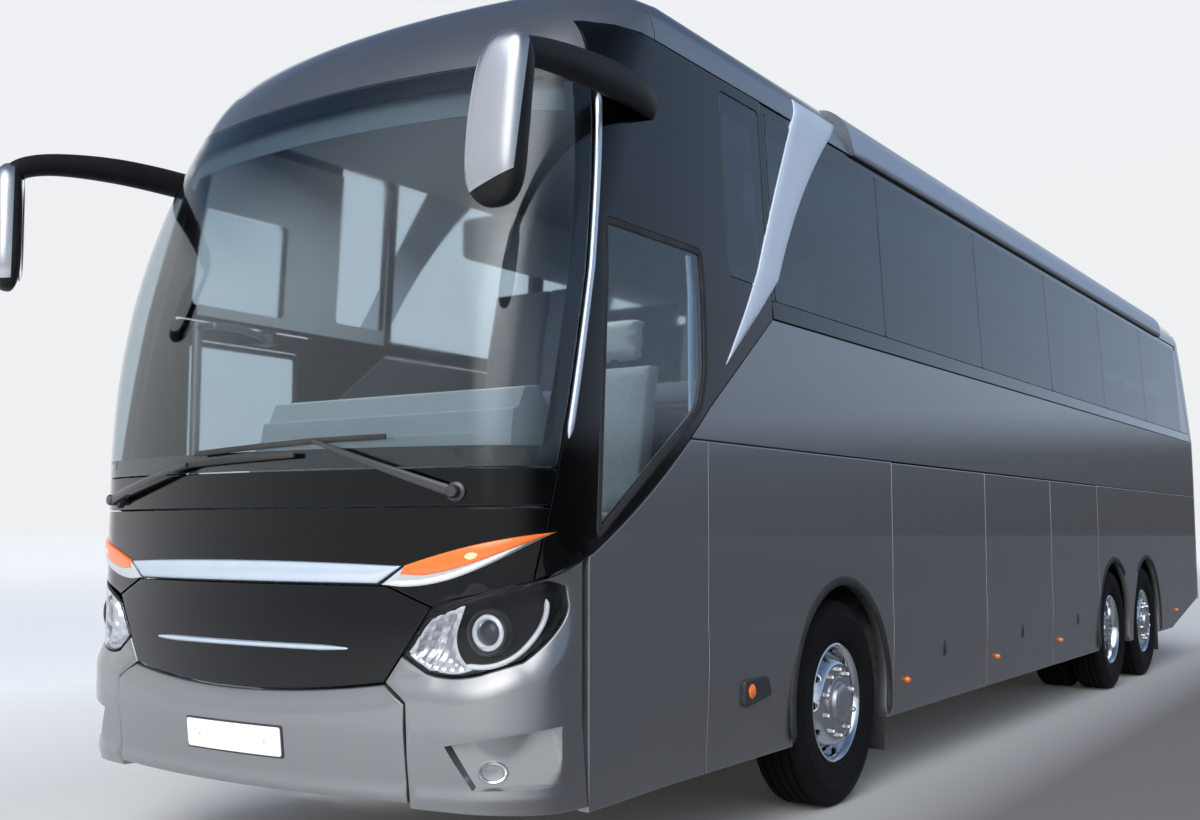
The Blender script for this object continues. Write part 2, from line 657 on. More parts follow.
# ---- Grille and brow strip ----
# The black gloss plate between the lamps, its slim bright bar, and the wide satin strip over it,
# pressed from sheet and rolled over at both edges. The badge place is left bare.
black_gloss = body_paint("black_gloss_panel", (0.004, 0.0042, 0.005), 0.0, 0.12, 0.03, Specular_IOR_Level=0.1,
                         Coat_IOR=1.32)
grille_outline = front_view([
    (-0.7, 1.208), (0.7, 1.208), (0.881, 1.135), (0.768, 0.962), (0.698, 0.861),
    (0.0, GRILLE_FOOT + 0.003, "arc"), (-0.698, 0.861), (-0.768, 0.962), (-0.881, 1.135)])
plate = show("grille", sheet(nose, grille_outline, grid=(0.05, 0.04), rim=0.004, thick=0.025, base=-0.003),
             black_gloss, 30.0)
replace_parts(plate, "grille")

# Brushed and lacquered metal: fine lengthwise streaks in tone and roughness, with a soft wave.
metal, given, put = finish_group("drawn_metal", "Colour Roughness Streak", "Colour Roughness Height")
where = own_places(metal)
streak = noise(metal, scaled(metal, where, (40.0, 6.0, 300.0)), 1.0, 5.0)
tones = maths(metal, "MULTIPLY_ADD", streak, given["Streak"], noise(metal, where, 11.0, 6.0, 0.6))
streaky = spread(metal, tones, 0.3, 0.9, 0.94, 1.03)
feed(put, {"Colour": mixed(metal, 1.0, given["Colour"], streaky, "MULTIPLY"),
           "Roughness": maths(metal, "MULTIPLY_ADD", tones, 0.06, given["Roughness"]), "Height": tones})


def relieved(name, group, values, strength, reach, **settings):
    """A material whose colour, gloss and fine relief come from one group."""
    material, tree, shader = finish(name, **settings)
    made = grouped(tree, group, values)
    feed(shader, {"Base Color": made["Colour"], "Roughness": made["Roughness"],
                  "Normal": bumped(tree, made["Height"], strength, reach)})
    return material


def bright_metal(name, colour, roughness, streak, metallic=1.0, bump=0.015):
    values = {"Colour": (*colour, 1), "Roughness": roughness, "Streak": streak}
    return relieved(name, metal, values, bump, 0.0005, Metallic=metallic)


satin_trim = bright_metal("satin_trim", (0.60, 0.68, 0.78), 0.22, 0.2, 0.75)
brow_outline = front_view([(-0.668, 1.217), (0.668, 1.217), (0.77, 1.284), (0.0, 1.299, "arc"),
                           (-0.77, 1.284)])


def rolled(outline, high, run):
    """A form that stands proud inside its outline with a rounded shoulder."""
    def form(s, z, place):
        inwards = np.clip(depth_in(np.stack([s, z], 1), outline) / run, 0, 1)
        return high * np.sqrt(1 - (1 - inwards) ** 2)
    return form


def lofted(rings, looped=False):
    """A skin through rings of points, shut by flat ends or, where it is looped, closed on itself."""
    rings = np.array(rings, float)
    rows, count = rings.shape[:2]
    faces = []
    for i in range(rows if looped else rows - 1):
        for k in range(count):
            a, b = i * count + k, i * count + (k + 1) % count
            faces.append((a, b, (b + count) % (rows * count), (a + count) % (rows * count)))
    if not looped:
        faces += [tuple(range(count))[::-1], tuple(range((rows - 1) * count, rows * count))]
    return rings.reshape(-1, 3), faces


def ridge(line, high, wide, end=nose, base=0.0, taper=0.1, sides=7):
    """A slim moulding along a line on the body, half round in section and tapered at both ends."""
    line = np.array(line, float)
    count = len(line)
    run = np.gradient(line, axis=0)
    run /= np.linalg.norm(run, axis=1, keepdims=True)
    across = np.stack([-run[:, 1], run[:, 0]], 1)
    share = np.linspace(0, 1, count)
    size = np.clip(np.minimum(share, 1 - share) / max(taper, 1e-6), 0, 1) ** 0.5 * 0.94 + 0.06
    turns = [pi * k / sides for k in range(sides + 1)]
    rings = []
    for turn, rise in [(t, high * size * sin(t)) for t in turns] + [(pi, -0.006), (0.0, -0.006)]:
        off = line + across * (0.5 * wide * size * cos(turn))[:, None]
        rings.append(end.place(off[:, 0], off[:, 1], base + rise))
    solid = lofted(np.stack(rings, 1))
    return solid if end.sign > 0 else flipped(solid)


brow = show("brow_strip", sheet(
    nose, brow_outline, grid=(0.02, 0.012), rim=0.004, thick=0.02, base=0.001,
    form=rolled(brow_outline, 0.012, 0.03)), satin_trim, 50.0)
bar_line = [(nose.from_y(y, 0.977), 0.977) for y in np.linspace(-0.55, 0.55, 60)]
show("grille_bar", ridge(bar_line, 0.014, 0.024, base=-0.006, taper=0.12), satin_trim, 35.0)
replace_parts(brow, "brow_strip")

# ---- Indicators ----
# Orange blade lenses set in chrome frames that sweep up and back from the strip's ends.
# A small bulb glows through each lens.
indicator_outline = front_view([
    (0.777, 1.283), (0.680, 1.213), (0.760, 1.206), (1.033, 1.262, "arc"), (1.249, 1.409),
    (1.032, 1.358, "arc")], step=0.015)
lens_outline = front_view([
    (0.782, 1.286), (0.762, 1.252), (0.85, 1.248), (1.04, 1.294, "arc"), (1.244, 1.406),
    (1.032, 1.358, "arc")], step=0.015)
blade = sheet(nose, indicator_outline, grid=(0.012, 0.01), thick=0.03,
              form=rolled(indicator_outline, 0.01, 0.018))


def both(solid):
    return joined([solid, other_side(solid)])


chrome = bright_metal("chrome", (0.80, 0.81, 0.83), 0.04, 0.1)
frames = show("indicator_frames", both(blade), chrome, 60.0)
lens = sheet(nose, lens_outline, grid=(0.012, 0.01), thick=0.012, base=0.008,
             form=rolled(lens_outline, 0.006, 0.02))


def ribbed_lens(name, colour, rib_scale, glow=0.0):
    """Moulded lens: coloured clear plastic with optical ribs and a little depth."""
    material, tree, shader = finish(name, Coat_Weight=1.0, Coat_Roughness=0.02, Emission_Strength=glow)
    where = own_places(tree)
    ribs = node(tree, "TexWave", {"Vector": scaled(tree, where, (0.0, rib_scale, 0.0)), "Scale": 1.0,
                                  "Distortion": 0.0}, bands_direction="DIAGONAL").outputs["Fac"]
    deep = mixed(tree, ribs, (*(0.72 * c for c in colour), 1), (*colour, 1))
    feed(shader, {"Base Color": deep, "Emission Color": deep, "Normal": bumped(tree, ribs, 0.25, 0.001),
                  "Roughness": spread(tree, noise(tree, where, 30.0, 5.0), 0, 1, 0.12, 0.3)})
    return material


orange_lens = ribbed_lens("orange_lens", (0.80, 0.145, 0.004), 90.0, 0.18)
blades = show("indicator_lenses", both(lens), orange_lens, 60.0)
bulb_ring = front_view([(1.01, 1.318), (1.032, 1.334, "arc"), (1.056, 1.328), (1.034, 1.308, "arc")],
                       step=0.006)
bulb = sheet(nose, bulb_ring, grid=(0.01, 0.01), thick=0.004, base=0.0145, rim=0.002)
pale_orange = ribbed_lens("bulb_in_lens", (0.95, 0.55, 0.30), 200.0, 0.5)
show("indicator_bulbs", both(bulb), pale_orange, 60.0)
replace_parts(frames, "indicators")

# ---- Headlamps ----
# A deep black bowl under clear glass: a projector in a bright ring, a faceted reflector on the
# inner side and a white daytime strip that follows the lower and outer edge.
lamp_ring = front_view(LAMP_OUTLINE, step=0.02)
inner_ring = set_in(lamp_ring, 0.004)


def bowl_form(s, z, place):
    """A bowl that is deepest round the projector and runs out at the tips."""
    inwards = depth_in(np.stack([s, z], 1), inner_ring)
    return -0.100 * smooth_step(inwards, 0.0, 0.075) - 0.006


def round_turns(count):
    return [2 * pi * k / count for k in range(count)]


def turned(profile, centre, axis, steps=40):
    """A closed turned part. Profile points are (radius, distance along the axis)."""
    axis = Vector(axis).normalized()
    side = axis.orthogonal().normalized()
    up = axis.cross(side)
    looped = profile[0] == profile[-1]
    return lofted([[
        Vector(centre) + axis * along + side * radius * cos(t) + up * radius * sin(t)
        for t in round_turns(steps)] for radius, along in (profile[:-1] if looped else profile)], looped)


plastic, given, put = finish_group("moulded_plastic", "Colour Roughness Dust", "Colour Roughness Height")
where = own_places(plastic)
cloud = noise(plastic, where, 5.0, 8.0, 0.6)
worn = maths(plastic, "MULTIPLY", spread(plastic, cloud, 0.35, 0.75), given["Dust"], clamp=True)
feed(put, {"Colour": mixed(plastic, worn, given["Colour"], (0.24, 0.235, 0.22, 1)),
           "Roughness": maths(plastic, "MULTIPLY_ADD", cloud, 0.16, given["Roughness"]),
           "Height": node(plastic, "TexVoronoi", {"Vector": where, "Scale": 420.0}).outputs["Distance"]})


def moulded(name, colour, roughness, dust, bump=0.3, **settings):
    values = {"Colour": (*colour, 1), "Roughness": roughness, "Dust": dust}
    return relieved(name, plastic, values, bump, 0.0004, **settings)


black_plastic = moulded("black_plastic", (0.016, 0.0165, 0.018), 0.38, 0.10)
bowl = sheet(nose, inner_ring, grid=(0.016, 0.016), thick=0.012, form=bowl_form, rim=0.002)
lamp_black = moulded("lamp_bowl_black", (0.006, 0.006, 0.007), 0.55, 0.02, 0.2, Specular_IOR_Level=0.12)
bowls = show("headlamp_bowls", both(bowl), lamp_black, 50.0)
EYE_Y, EYE_Z = 1.060, 1.046
eye_x = float(nose.place(nose.from_y(EYE_Y, EYE_Z), EYE_Z)[0])
eye_at = (eye_x - 0.075, EYE_Y, EYE_Z)
eye_axis = (0.985, 0.14, 0.0)
surround = turned([
    (0.060, 0.0), (0.086, 0.0), (0.086, 0.030), (0.081, 0.042), (0.074, 0.040), (0.066, 0.022), (0.060, 0.0)],
    eye_at, eye_axis)
show("headlamp_surrounds", both(surround), black_plastic)
ring_profile = [(0.044, 0.0), (0.068, 0.0), (0.071, 0.02), (0.066, 0.032), (0.056, 0.034), (0.047, 0.022),
                (0.044, 0.0)]
eye_ring = turned(ring_profile, eye_at, eye_axis)
eye_glass = turned([
    (0.001, -0.002), (0.046, -0.002), (0.046, 0.01), (0.04, 0.022), (0.028, 0.031), (0.014, 0.036),
    (0.001, 0.038)], eye_at, eye_axis)
reflector_outline = front_view([
    (0.783, 0.964), (0.883, 1.100), (1.014, 1.149), (0.992, 1.080), (0.983, 1.000, "arc"), (1.040, 0.916),
    (0.965, 0.898, "arc"), (0.874, 0.909)], step=0.012)


def facets(s, z, place):
    """Vertical flutes that deepen towards the middle of the lamp."""
    inwards = depth_in(np.stack([s, z], 1), reflector_outline)
    flute = 0.5 + 0.5 * np.cos(2 * pi * (s - 0.5 * z) / 0.034)
    flute += 0.3 * np.cos(2 * pi * (z + 0.2 * s) / 0.041)
    return -0.050 * smooth_step(inwards, 0.0, 0.07) + 0.008 * flute * smooth_step(inwards, 0.0, 0.02)


reflector = sheet(nose, reflector_outline, grid=(0.0065, 0.0065), thick=0.004, base=-0.01, rim=0.001,
                  form=facets)
lamp_silver = bright_metal("lamp_silver", (0.60, 0.605, 0.62), 0.17, 0.2)
show("headlamp_reflectors", joined([reflector, other_side(reflector), eye_ring, other_side(eye_ring)]),
     lamp_silver, 50.0)


def clear_glass(name, colour, ior=1.45):
    """Clear glass or lens plastic with faint smears in its gloss."""
    material, tree, shader = finish(name, Transmission_Weight=1.0, IOR=ior, Metallic=0.0)
    smear = noise(tree, own_places(tree), 2.4, 9.0, 0.65)
    feed(shader, {"Roughness": spread(tree, smear, 0.3, 0.75, 0.02, 0.07),
                  "Base Color": mixed(tree, smear, (*(0.94 * c for c in colour), 1), (*colour, 1))})
    return material


def line_through(points, step=0.03):
    """A dense line drawn like an outline, but left open."""
    dense = traced(points, step)
    return dense[:dense.index(tuple(points[-1][:2])) + 1]


lamp_glass = clear_glass("lamp_glass", (0.97, 0.98, 1.0), ior=1.25)
eye_lens = clear_glass("projector_lens", (0.75, 0.85, 0.95), ior=1.45)
show("headlamp_projectors", both(eye_glass), eye_lens, 60.0)
strip_line = line_through([(1.015, 0.934), (1.126, 0.938, "arc"), (1.190, 0.995), (1.226, 1.080, "arc"),
                           (1.232, 1.165)], 0.015)
strip = ridge([(nose.from_y(y, z), z) for y, z in strip_line], 0.010, 0.020, base=-0.013, taper=0.05)
white_strip = moulded("daytime_strip", (0.86, 0.88, 0.90), 0.2, 0.0, 0.1, Coat_Weight=1.0)
halo = turned([(0.047, 0.026), (0.06, 0.026), (0.062, 0.036), (0.054, 0.04), (0.047, 0.034), (0.047, 0.026)],
              eye_at, eye_axis, 48)
show("daytime_strips", both(joined([strip, halo])), white_strip, 60.0)
cover = sheet(nose, set_in(inner_ring, 0.001), grid=(0.03, 0.03), thick=0.004, base=0.001)
show("headlamp_glass", both(cover), lamp_glass, 60.0)
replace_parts(bowls, "headlamps")

# Fog lamps: a small round lamp in a bright ring on each pocket's facet.
facet_ends = nose.place([nose.from_y(0.950, 0.6), nose.from_y(1.245, 0.6)], 0.6, [0.010, 0.018])
fog_y, fog_z = 1.068, 0.553
fog_run = facet_ends[1] - facet_ends[0]
fog_at = Vector(facet_ends[0] + fog_run * (fog_y - 0.950) / 0.295 + np.array((0, 0, fog_z - 0.6)))
fog_axis = Vector((fog_run[1], -fog_run[0], 0.0)).normalized()
fog_ring = turned([
    (0.034, -0.03), (0.056, -0.03), (0.056, 0.006), (0.051, 0.013), (0.043, 0.01), (0.038, -0.004),
    (0.034, -0.03)], fog_at, fog_axis)
fog_bowl = turned([
    (0.001, -0.02), (0.03, -0.016), (0.038, 0.0), (0.041, 0.0), (0.041, -0.026), (0.001, -0.026)], fog_at,
    fog_axis)
fog_bulb = turned([(0.001, -0.020), (0.012, -0.020), (0.012, -0.006), (0.001, -0.002)], fog_at, fog_axis, 20)
fog_lens = turned([(0.001, 0.002), (0.04, -0.002), (0.04, 0.004), (0.026, 0.009), (0.001, 0.011)], fog_at,
                  fog_axis)


def oval(solid):
    """Pressed flatter about the fog lamp's own level."""
    points, polygons = solid
    return (np.array(points) - (0, 0, fog_z)) * (1, 1, 0.70) + (0, 0, fog_z), polygons


show("fog_lamp_rings", both(oval(joined([fog_ring, fog_bowl, fog_bulb]))), chrome)
show("fog_lamp_lenses", both(oval(fog_lens)), lamp_glass, 50.0)

# ---- Front mask ----
# Black gloss panels round the nose: a lower one with the lamps let into it and an upper one
# under the windscreen that carries the wipers, with a shut line between them.
EDGE_LEAN = -0.20486


def screen_edge(z):
    return NOSE_X - 0.385 + EDGE_LEAN * (z - 1.645)


MASK_SIDE = traced([(AXLE_X + 2.336, 1.331), (NOSE_X - 0.283, 1.224), (NOSE_X - 0.127, 1.162)], 0.03)[:-1]
FLAP_LINE = 1.495


def mask_lower():
    """The half outline of the lower mask panel, from the middle of its top round to the grille."""
    top = [(s, FLAP_LINE) for s in np.linspace(0.0, nose.from_x(screen_edge(FLAP_LINE), FLAP_LINE, 1), 50)]
    side = [(nose.from_x(screen_edge(z) - 0.001, z, 1), z) for z in np.linspace(1.47, 1.236, 9)]
    foot = [(nose.from_x(x, z, 1), z) for x, z in MASK_SIDE if screen_edge(1.236) + 0.006 < x < NOSE_X - 0.29]
    lamp = [(nose.from_y(y, z + 0.004), z + 0.004) for y, z in
            traced([(1.243, 1.240), (1.034, 1.166), (0.886, 1.110), (0.886, 1.1101)], 0.03)[:-1]]
    grille = [(nose.from_y(y, z), z)
              for y, z in ((0.886, 1.14), (0.795, 1.176), (0.704, 1.213), (0.35, 1.213), (0.0, 1.213))]
    return top + side + foot + lamp + grille


def mirrored(half):
    """A half outline from middle to middle, made whole."""
    return half + [(-s, z) for s, z in half[-2:0:-1]]


half = mask_lower()
ring_top = [(s, FLAP_LINE + 0.006) for s, z in half if z == FLAP_LINE]
edge = [(nose.from_x(screen_edge(z) - 0.001, z, 1), z) for z in np.linspace(1.52, 1.638, 5)]
low_screen = [(s, 1.640) for s in np.linspace(edge[-1][0], 0.0, 50)[1:]]
upper_half = ring_top + edge + low_screen
lower_panel = sheet(nose, mirrored(half), grid=(0.03, 0.03), thick=0.04)
upper_panel = sheet(nose, mirrored(upper_half), grid=(0.04, 0.03), thick=0.04)
mask = show("front_mask", joined([lower_panel, upper_panel]), black_gloss)
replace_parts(mask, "front_mask")


# ---- Windscreen ----
# One large curved sheet of laminated glass with a black printed border, bonded to the nose.
# A slim bright strip runs up beside it on each pillar.
screen_glass = clear_glass("windscreen_glass", (0.63, 0.72, 0.77), ior=1.45)
SCREEN_LOW_Z, SCREEN_TOP_Z = 1.645, 3.29


def screen_ring(inset_low, inset_top, inset_side):
    levels = np.linspace(SCREEN_LOW_Z + inset_low, SCREEN_TOP_Z - inset_top, 44)
    edge = [(nose.from_x(screen_edge(z) + 0.001, z, 1) - inset_side, z) for z in levels]
    foot = [(s, levels[0]) for s in np.linspace(-edge[0][0], edge[0][0], 60)]
    top = [(s, levels[-1]) for s in np.linspace(edge[-1][0], -edge[-1][0], 50)]
    return foot + edge[1:-1] + top + [(-s, z) for s, z in edge[-2:0:-1]]


windscreen = show("windscreen", sheet(nose, screen_ring(0, 0, 0), grid=(0.07, 0.05), rim=0.002, thick=0.006),
                  screen_glass, 60.0)
printed = moulded("printed_border", (0.006, 0.0065, 0.008), 0.3, 0.0, 0.05)
show("windscreen_border", sheet(
    nose, screen_ring(0.002, 0.002, 0.002), [screen_ring(0.075, 0.1, 0.075)], grid=(0.07, 0.05), rim=0.001,
    thick=0.004, base=-0.0065), printed, 60.0)
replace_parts(windscreen, "windscreen")
pillar_line = [(nose.from_x(screen_edge(z) - 0.030, z, 1), z) for z in np.linspace(1.75, 3.16, 60)]
pillar = ridge(pillar_line, 0.012, 0.030, base=0.0, taper=0.03)
show("pillar_mouldings", both(pillar), satin_trim, 60.0)

# ---- Roof ----
# Glass-fibre front cap, three lengthwise roof panels and a rear dome, painted like the body,
# with sealed joints between them.
CAP_REAR_X = AXLE_X + 1.78
TAIL_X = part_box("rear_wall")[0].x
DOME_X = TAIL_X + 0.95


def tail_x(z):
    return TAIL_X + leaning(z, 2.0, 3.2, 3.45)


tail = BodyEnd(-1.0, tail_x, 6.0, 0.16)


def roof_skin():
    """The whole skin above the eaves as rings, each one from the tail's middle round by the left."""
    lift = EAVES_RADIUS - 0.003
    levels = [EAVES_Z + 0.003 + lift * sin(pi / 2 * t) for t in np.linspace(0, 1, 22)]
    levels += [TOP_Z - CROWN * (1 - t) ** 2 for t in np.linspace(0, 0.94, 22)[1:]]
    rows = []
    for z in levels:
        front = nose.from_x(0.0, z, 1)
        back = tail.from_x(0.0, z, 1)
        lead = front * (1 - (1 - np.linspace(0, 1, 60)) ** 0.8)
        around = [nose.place(s, z) for s in sorted(front - lead)]
        behind = [tail.place(s, z) for s in sorted(back - back * (1 - (1 - np.linspace(0, 1, 50)) ** 0.7))]
        half = around + behind[-2::-1]
        rows.append(half + [p * (1, -1, 1) for p in half[-2:0:-1]])
    count = len(rows[0])
    points, faces = lofted(rows)
    faces = faces[:-2]
    last = (len(rows) - 1) * count
    for k in range(count // 2):
        a, b = last + k, last + k + 1
        c, d = last + (count - k - 1) % count, last + (count - k) % count
        faces.append((a, b, c, d) if k else (a, b, c))
    faces = [tuple(dict.fromkeys(f)) for f in faces]
    return points, [f for f in faces if len(f) > 2]


def part_of(points, faces, planes):
    """The part of a skin behind every cutting plane (a point and the way out of it)."""
    work = bmesh.new()
    verts = [work.verts.new(p) for p in points]
    for f in faces:
        try:
            work.faces.new([verts[i] for i in f])
        except ValueError:
            pass
    for place, out in planes:
        bmesh.ops.bisect_plane(work, geom=work.verts[:] + work.edges[:] + work.faces[:], plane_co=place,
                               plane_no=out, clear_outer=True)
    bmesh.ops.remove_doubles(work, verts=work.verts, dist=0.0004)
    work.verts.index_update()
    made = [tuple(v.co) for v in work.verts], [tuple(v.index for v in f.verts) for f in work.faces]
    work.free()
    return made


skin = roof_skin()


def thickened(made, thick):
    """Give an open skin its thickness, with a crisp edge all round."""
    work = bmesh.new()
    work.from_mesh(made.data)
    for edge in work.edges:
        edge.smooth = edge.smooth and not edge.is_boundary
    work.to_mesh(made.data)
    work.free()
    solid = made.modifiers.new("thickness", "SOLIDIFY")
    solid.thickness = thick
    solid.offset = -1.0
    return made


cap_planes = [((CAP_REAR_X + 0.003, 0, 0), (-1, 0, 0))]
front_cap = part_of(*skin, cap_planes)
# the cap also reaches down between eaves and windscreen
levels = np.linspace(SCREEN_TOP_Z + 0.004, EAVES_Z + 0.003, 12)
APRON_POINTS = 90
apron = []
for z in levels:
    edge = nose.from_x(screen_edge(z), z, 1)
    apron += list(nose.place(np.linspace(-edge, edge, APRON_POINTS), z))
starts = [i * APRON_POINTS + k for i in range(len(levels) - 1) for k in range(APRON_POINTS - 1)]
apron_faces = [(a, a + 1, a + APRON_POINTS + 1, a + APRON_POINTS) for a in starts]
cap = thickened(show("front_roof_cap", joined([front_cap, (apron, apron_faces)]), coach_paint),
                0.03)
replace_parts(cap, "front_roof_cap")
ROOF_SEAM_Y = 0.900
between = [((CAP_REAR_X - 0.003, 0, 0), (1, 0, 0)), ((DOME_X + 0.002, 0, 0), (-1, 0, 0))]
seams = [[((0, -way * (ROOF_SEAM_Y + 0.002), 0), (0, way, 0))] for way in (1, -1)]
seams.append([((0, way * (ROOF_SEAM_Y - 0.002), 0), (0, way, 0)) for way in (1, -1)])
roof_parts = [part_of(*skin, between + cuts) for cuts in seams]
roof_parts.append(part_of(*skin, [((DOME_X - 0.002, 0, 0), (1, 0, 0))]))
roof = thickened(show("roof", joined(roof_parts), coach_paint), 0.03)
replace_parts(roof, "roof")


# ---- Cab sides ----
# Black gloss panels from the windscreen pillar back to the bright crescent, with a falling lower
# edge. The driver's window and a narrow fixed pane are bonded into the left one.
CAB_REAR_X = AXLE_X + 0.80
DOOR_X = (AXLE_X + 1.38, AXLE_X + 2.28)
DOOR_Z = (0.40, 2.45)
GAP = 0.008
mask_line = line_through([
    (CAB_REAR_X, BELT_Z), (AXLE_X + 1.41, 1.96), (AXLE_X + 1.86, 1.61, "arc"), (AXLE_X + 2.336, 1.331),
    (NOSE_X - 0.283, 1.224), (NOSE_X - 0.127, 1.162)], 0.03)


def mask_z(x):
    return np.interp(x, [p[0] for p in mask_line], [p[1] for p in mask_line])


top_line = EAVES_Z - 0.003
pillar_edge = [(screen_edge(z) - 0.004, z) for z in np.linspace(1.236, top_line, 41)]
cab_foot = [(x, z) for x, z in mask_line if x < screen_edge(1.232) - 0.012]
cab_left = pillar_edge + [(CAB_REAR_X, top_line)] + cab_foot
cab_right = pillar_edge + [(CAB_REAR_X, top_line)] + [p for p in cab_foot if p[0] < DOOR_X[0] - GAP]
cab_right += [(DOOR_X[0] - GAP, mask_z(DOOR_X[0] - GAP)), (DOOR_X[0] - GAP, DOOR_Z[1] + GAP),
              (DOOR_X[1] + GAP, DOOR_Z[1] + GAP), (DOOR_X[1] + GAP, mask_z(DOOR_X[1] + GAP))]
cab_right += [p for p in cab_foot if p[0] > DOOR_X[1] + GAP + 0.01]
DRIVER_WINDOW = [(AXLE_X + x, z)
                 for x, z in ((2.25, 2.64), (1.47, 2.64), (1.45, 2.10), (1.50, 1.93), (2.318, 1.37))]
QUARTER_WINDOW = [(AXLE_X + x, z) for x, z in ((1.22, 3.44), (0.83, 3.44), (0.83, 2.56), (1.22, 2.56))]


def rounded(points, radius):
    """An outline with its corners cut round."""
    made = []
    for i, here in enumerate(points):
        before, after = np.array(points[i - 1]), np.array(points[(i + 1) % len(points)])
        here = np.array(here)
        a, b = before - here, after - here
        cut_a = min(radius, 0.45 * np.linalg.norm(a))
        cut_b = min(radius, 0.45 * np.linalg.norm(b))
        start = here + a / np.linalg.norm(a) * cut_a
        end = here + b / np.linalg.norm(b) * cut_b
        for t in np.linspace(0, 1, 7):
            made.append(tuple((1 - t) ** 2 * start + 2 * t * (1 - t) * here + t ** 2 * end))
    return made


def side_view(points, side=1, end=nose, step=0.03):
    """An outline drawn from the side (x, z), laid on the body."""
    return [(end.from_x(x, z, side), z) for x, z in traced(points, step)]


def side_sheet(outline, side=1, holes=(), step=0.03, **sizes):
    """A panel on the coach's side, its outline and holes drawn as seen from there in (x, z)."""
    return sheet(nose, side_view(outline, side, step=step), [side_view(h, side) for h in holes], **sizes)


driver_ring = rounded(DRIVER_WINDOW, 0.05)
quarter_ring = rounded(QUARTER_WINDOW, 0.03)
over_door_ring = rounded([
    (DOOR_X[1] - 0.08, 2.53), (DOOR_X[1] - 0.12, 3.03), (DOOR_X[0] + 0.22, 3.03), (DOOR_X[0] + 0.22, 2.53)],
    0.04)
cab_sides = []
for side, outline, windows in ((1, cab_left, (driver_ring, quarter_ring)),
                               (-1, cab_right, (over_door_ring, quarter_ring))):
    cab_sides.append(side_sheet(outline, side, windows, step=0.04, grid=(0.1, 0.06), thick=0.045))
cab_names = ("cab_side_left", "cab_side_right")
for name, solid in zip(cab_names, cab_sides):
    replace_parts(show(name, solid, black_gloss), name)

# ---- Side windows ----
# Bonded panes nearly flush with the body, dark on the left and lighter on the right. The driver's
# pane is clear, sits in a black seal and has a bright rail inside.
tinted = clear_glass("tinted_glass", (0.16, 0.21, 0.27), ior=1.6)
cab_glass = clear_glass("driver_window_glass", (0.62, 0.72, 0.78), ior=1.45)
rubber = moulded("window_rubber", (0.010, 0.010, 0.011), 0.55, 0.12, 0.2)
PANE_JOINTS = [AXLE_X + x for x in (0.760, -0.660, -2.420, -4.180, -5.940, -7.700, -9.500)]
SILL_Z, GLASS_TOP_Z = 2.51, 3.45


def box_ring(low_x, high_x, low_z, high_z):
    return [(low_x, low_z), (high_x, low_z), (high_x, high_z), (low_x, high_z)]


lighter_tint = clear_glass("lighter_tinted_glass", (0.74, 0.82, 0.88), ior=1.5)
for side, name, pane_glass in ((1, "glass_left", tinted), (-1, "glass_right", lighter_tint)):
    panes = []
    for front, rear in zip(PANE_JOINTS[:-1], PANE_JOINTS[1:]):
        pane = box_ring(rear + 0.004, front - 0.004, SILL_Z + 0.002, GLASS_TOP_Z)
        panes.append(side_sheet(rounded(pane, 0.02), side, step=0.08, rim=0.002, thick=0.005))
    panes.append(side_sheet(set_in(quarter_ring, 0.004), side, step=0.08, rim=0.002, thick=0.005,
                            base=-0.001))
    glass = show(name, joined(panes), pane_glass, 60.0)
    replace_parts(glass, name)
over_door = side_sheet(set_in(over_door_ring, 0.004), -1, rim=0.002, thick=0.005)
show("over_door_glass", over_door, cab_glass, 60.0)
show("driver_window", side_sheet(set_in(driver_ring, 0.012), 1, rim=0.002, thick=0.005, base=-0.004),
     cab_glass, 60.0)
seal = side_sheet(driver_ring, 1, [set_in(driver_ring, 0.028)], thick=0.02, base=0.002)
show("driver_window_seal", seal, rubber)
rail = [(AXLE_X + x, z) for x, z in ((1.575, 2.60), (1.545, 2.60), (1.545, 1.95), (1.575, 1.92))]
show("driver_window_rail", side_sheet(rail, 1, thick=0.012, base=-0.016), satin_trim)

# ---- Side walls ----
# Painted aluminium side under the windows, a black band at the belt, black posts behind the
# glass and a black groove over it, up to the eaves.
MID_DOOR_X = (AXLE_X - 5.35, AXLE_X - 4.45)
JOINT_X = TAIL_X + 0.30


def joint_x(z):
    return JOINT_X + 0.48 * np.clip((z - 2.0) / (EAVES_Z - 0.003 - 2.0), 0, 1) + 0.006


def mask_x(z):
    return float(np.interp(-z, [-p[1] for p in mask_line], [p[0] for p in mask_line]))


WALL_Z = 1.803


def side_wall(side):
    """Painted wall, belt band and header of one side, as outlines (x, z)."""
    rear = [(joint_x(z), z) for z in np.linspace(2.418, WALL_Z, 12)]
    if side > 0:
        front = [(x, z - 0.004) for x, z in mask_line[::-1] if WALL_Z < z - 0.004]
        foot = mask_x(WALL_Z + 0.004) - 0.002
        return [[(foot, WALL_Z)] + front + rear]
    door, low, high = DOOR_X[0] - GAP, MID_DOOR_X[0] - GAP, MID_DOOR_X[1] + GAP
    front = [(x, z - 0.004) for x, z in mask_line[::-1] if x < door - 0.01]
    return [[(high, WALL_Z), (door, WALL_Z), (door, mask_z(door) - 0.004)] + front + [(high, 2.418)],
            [(low, 2.418)] + rear + [(low, WALL_Z)]]


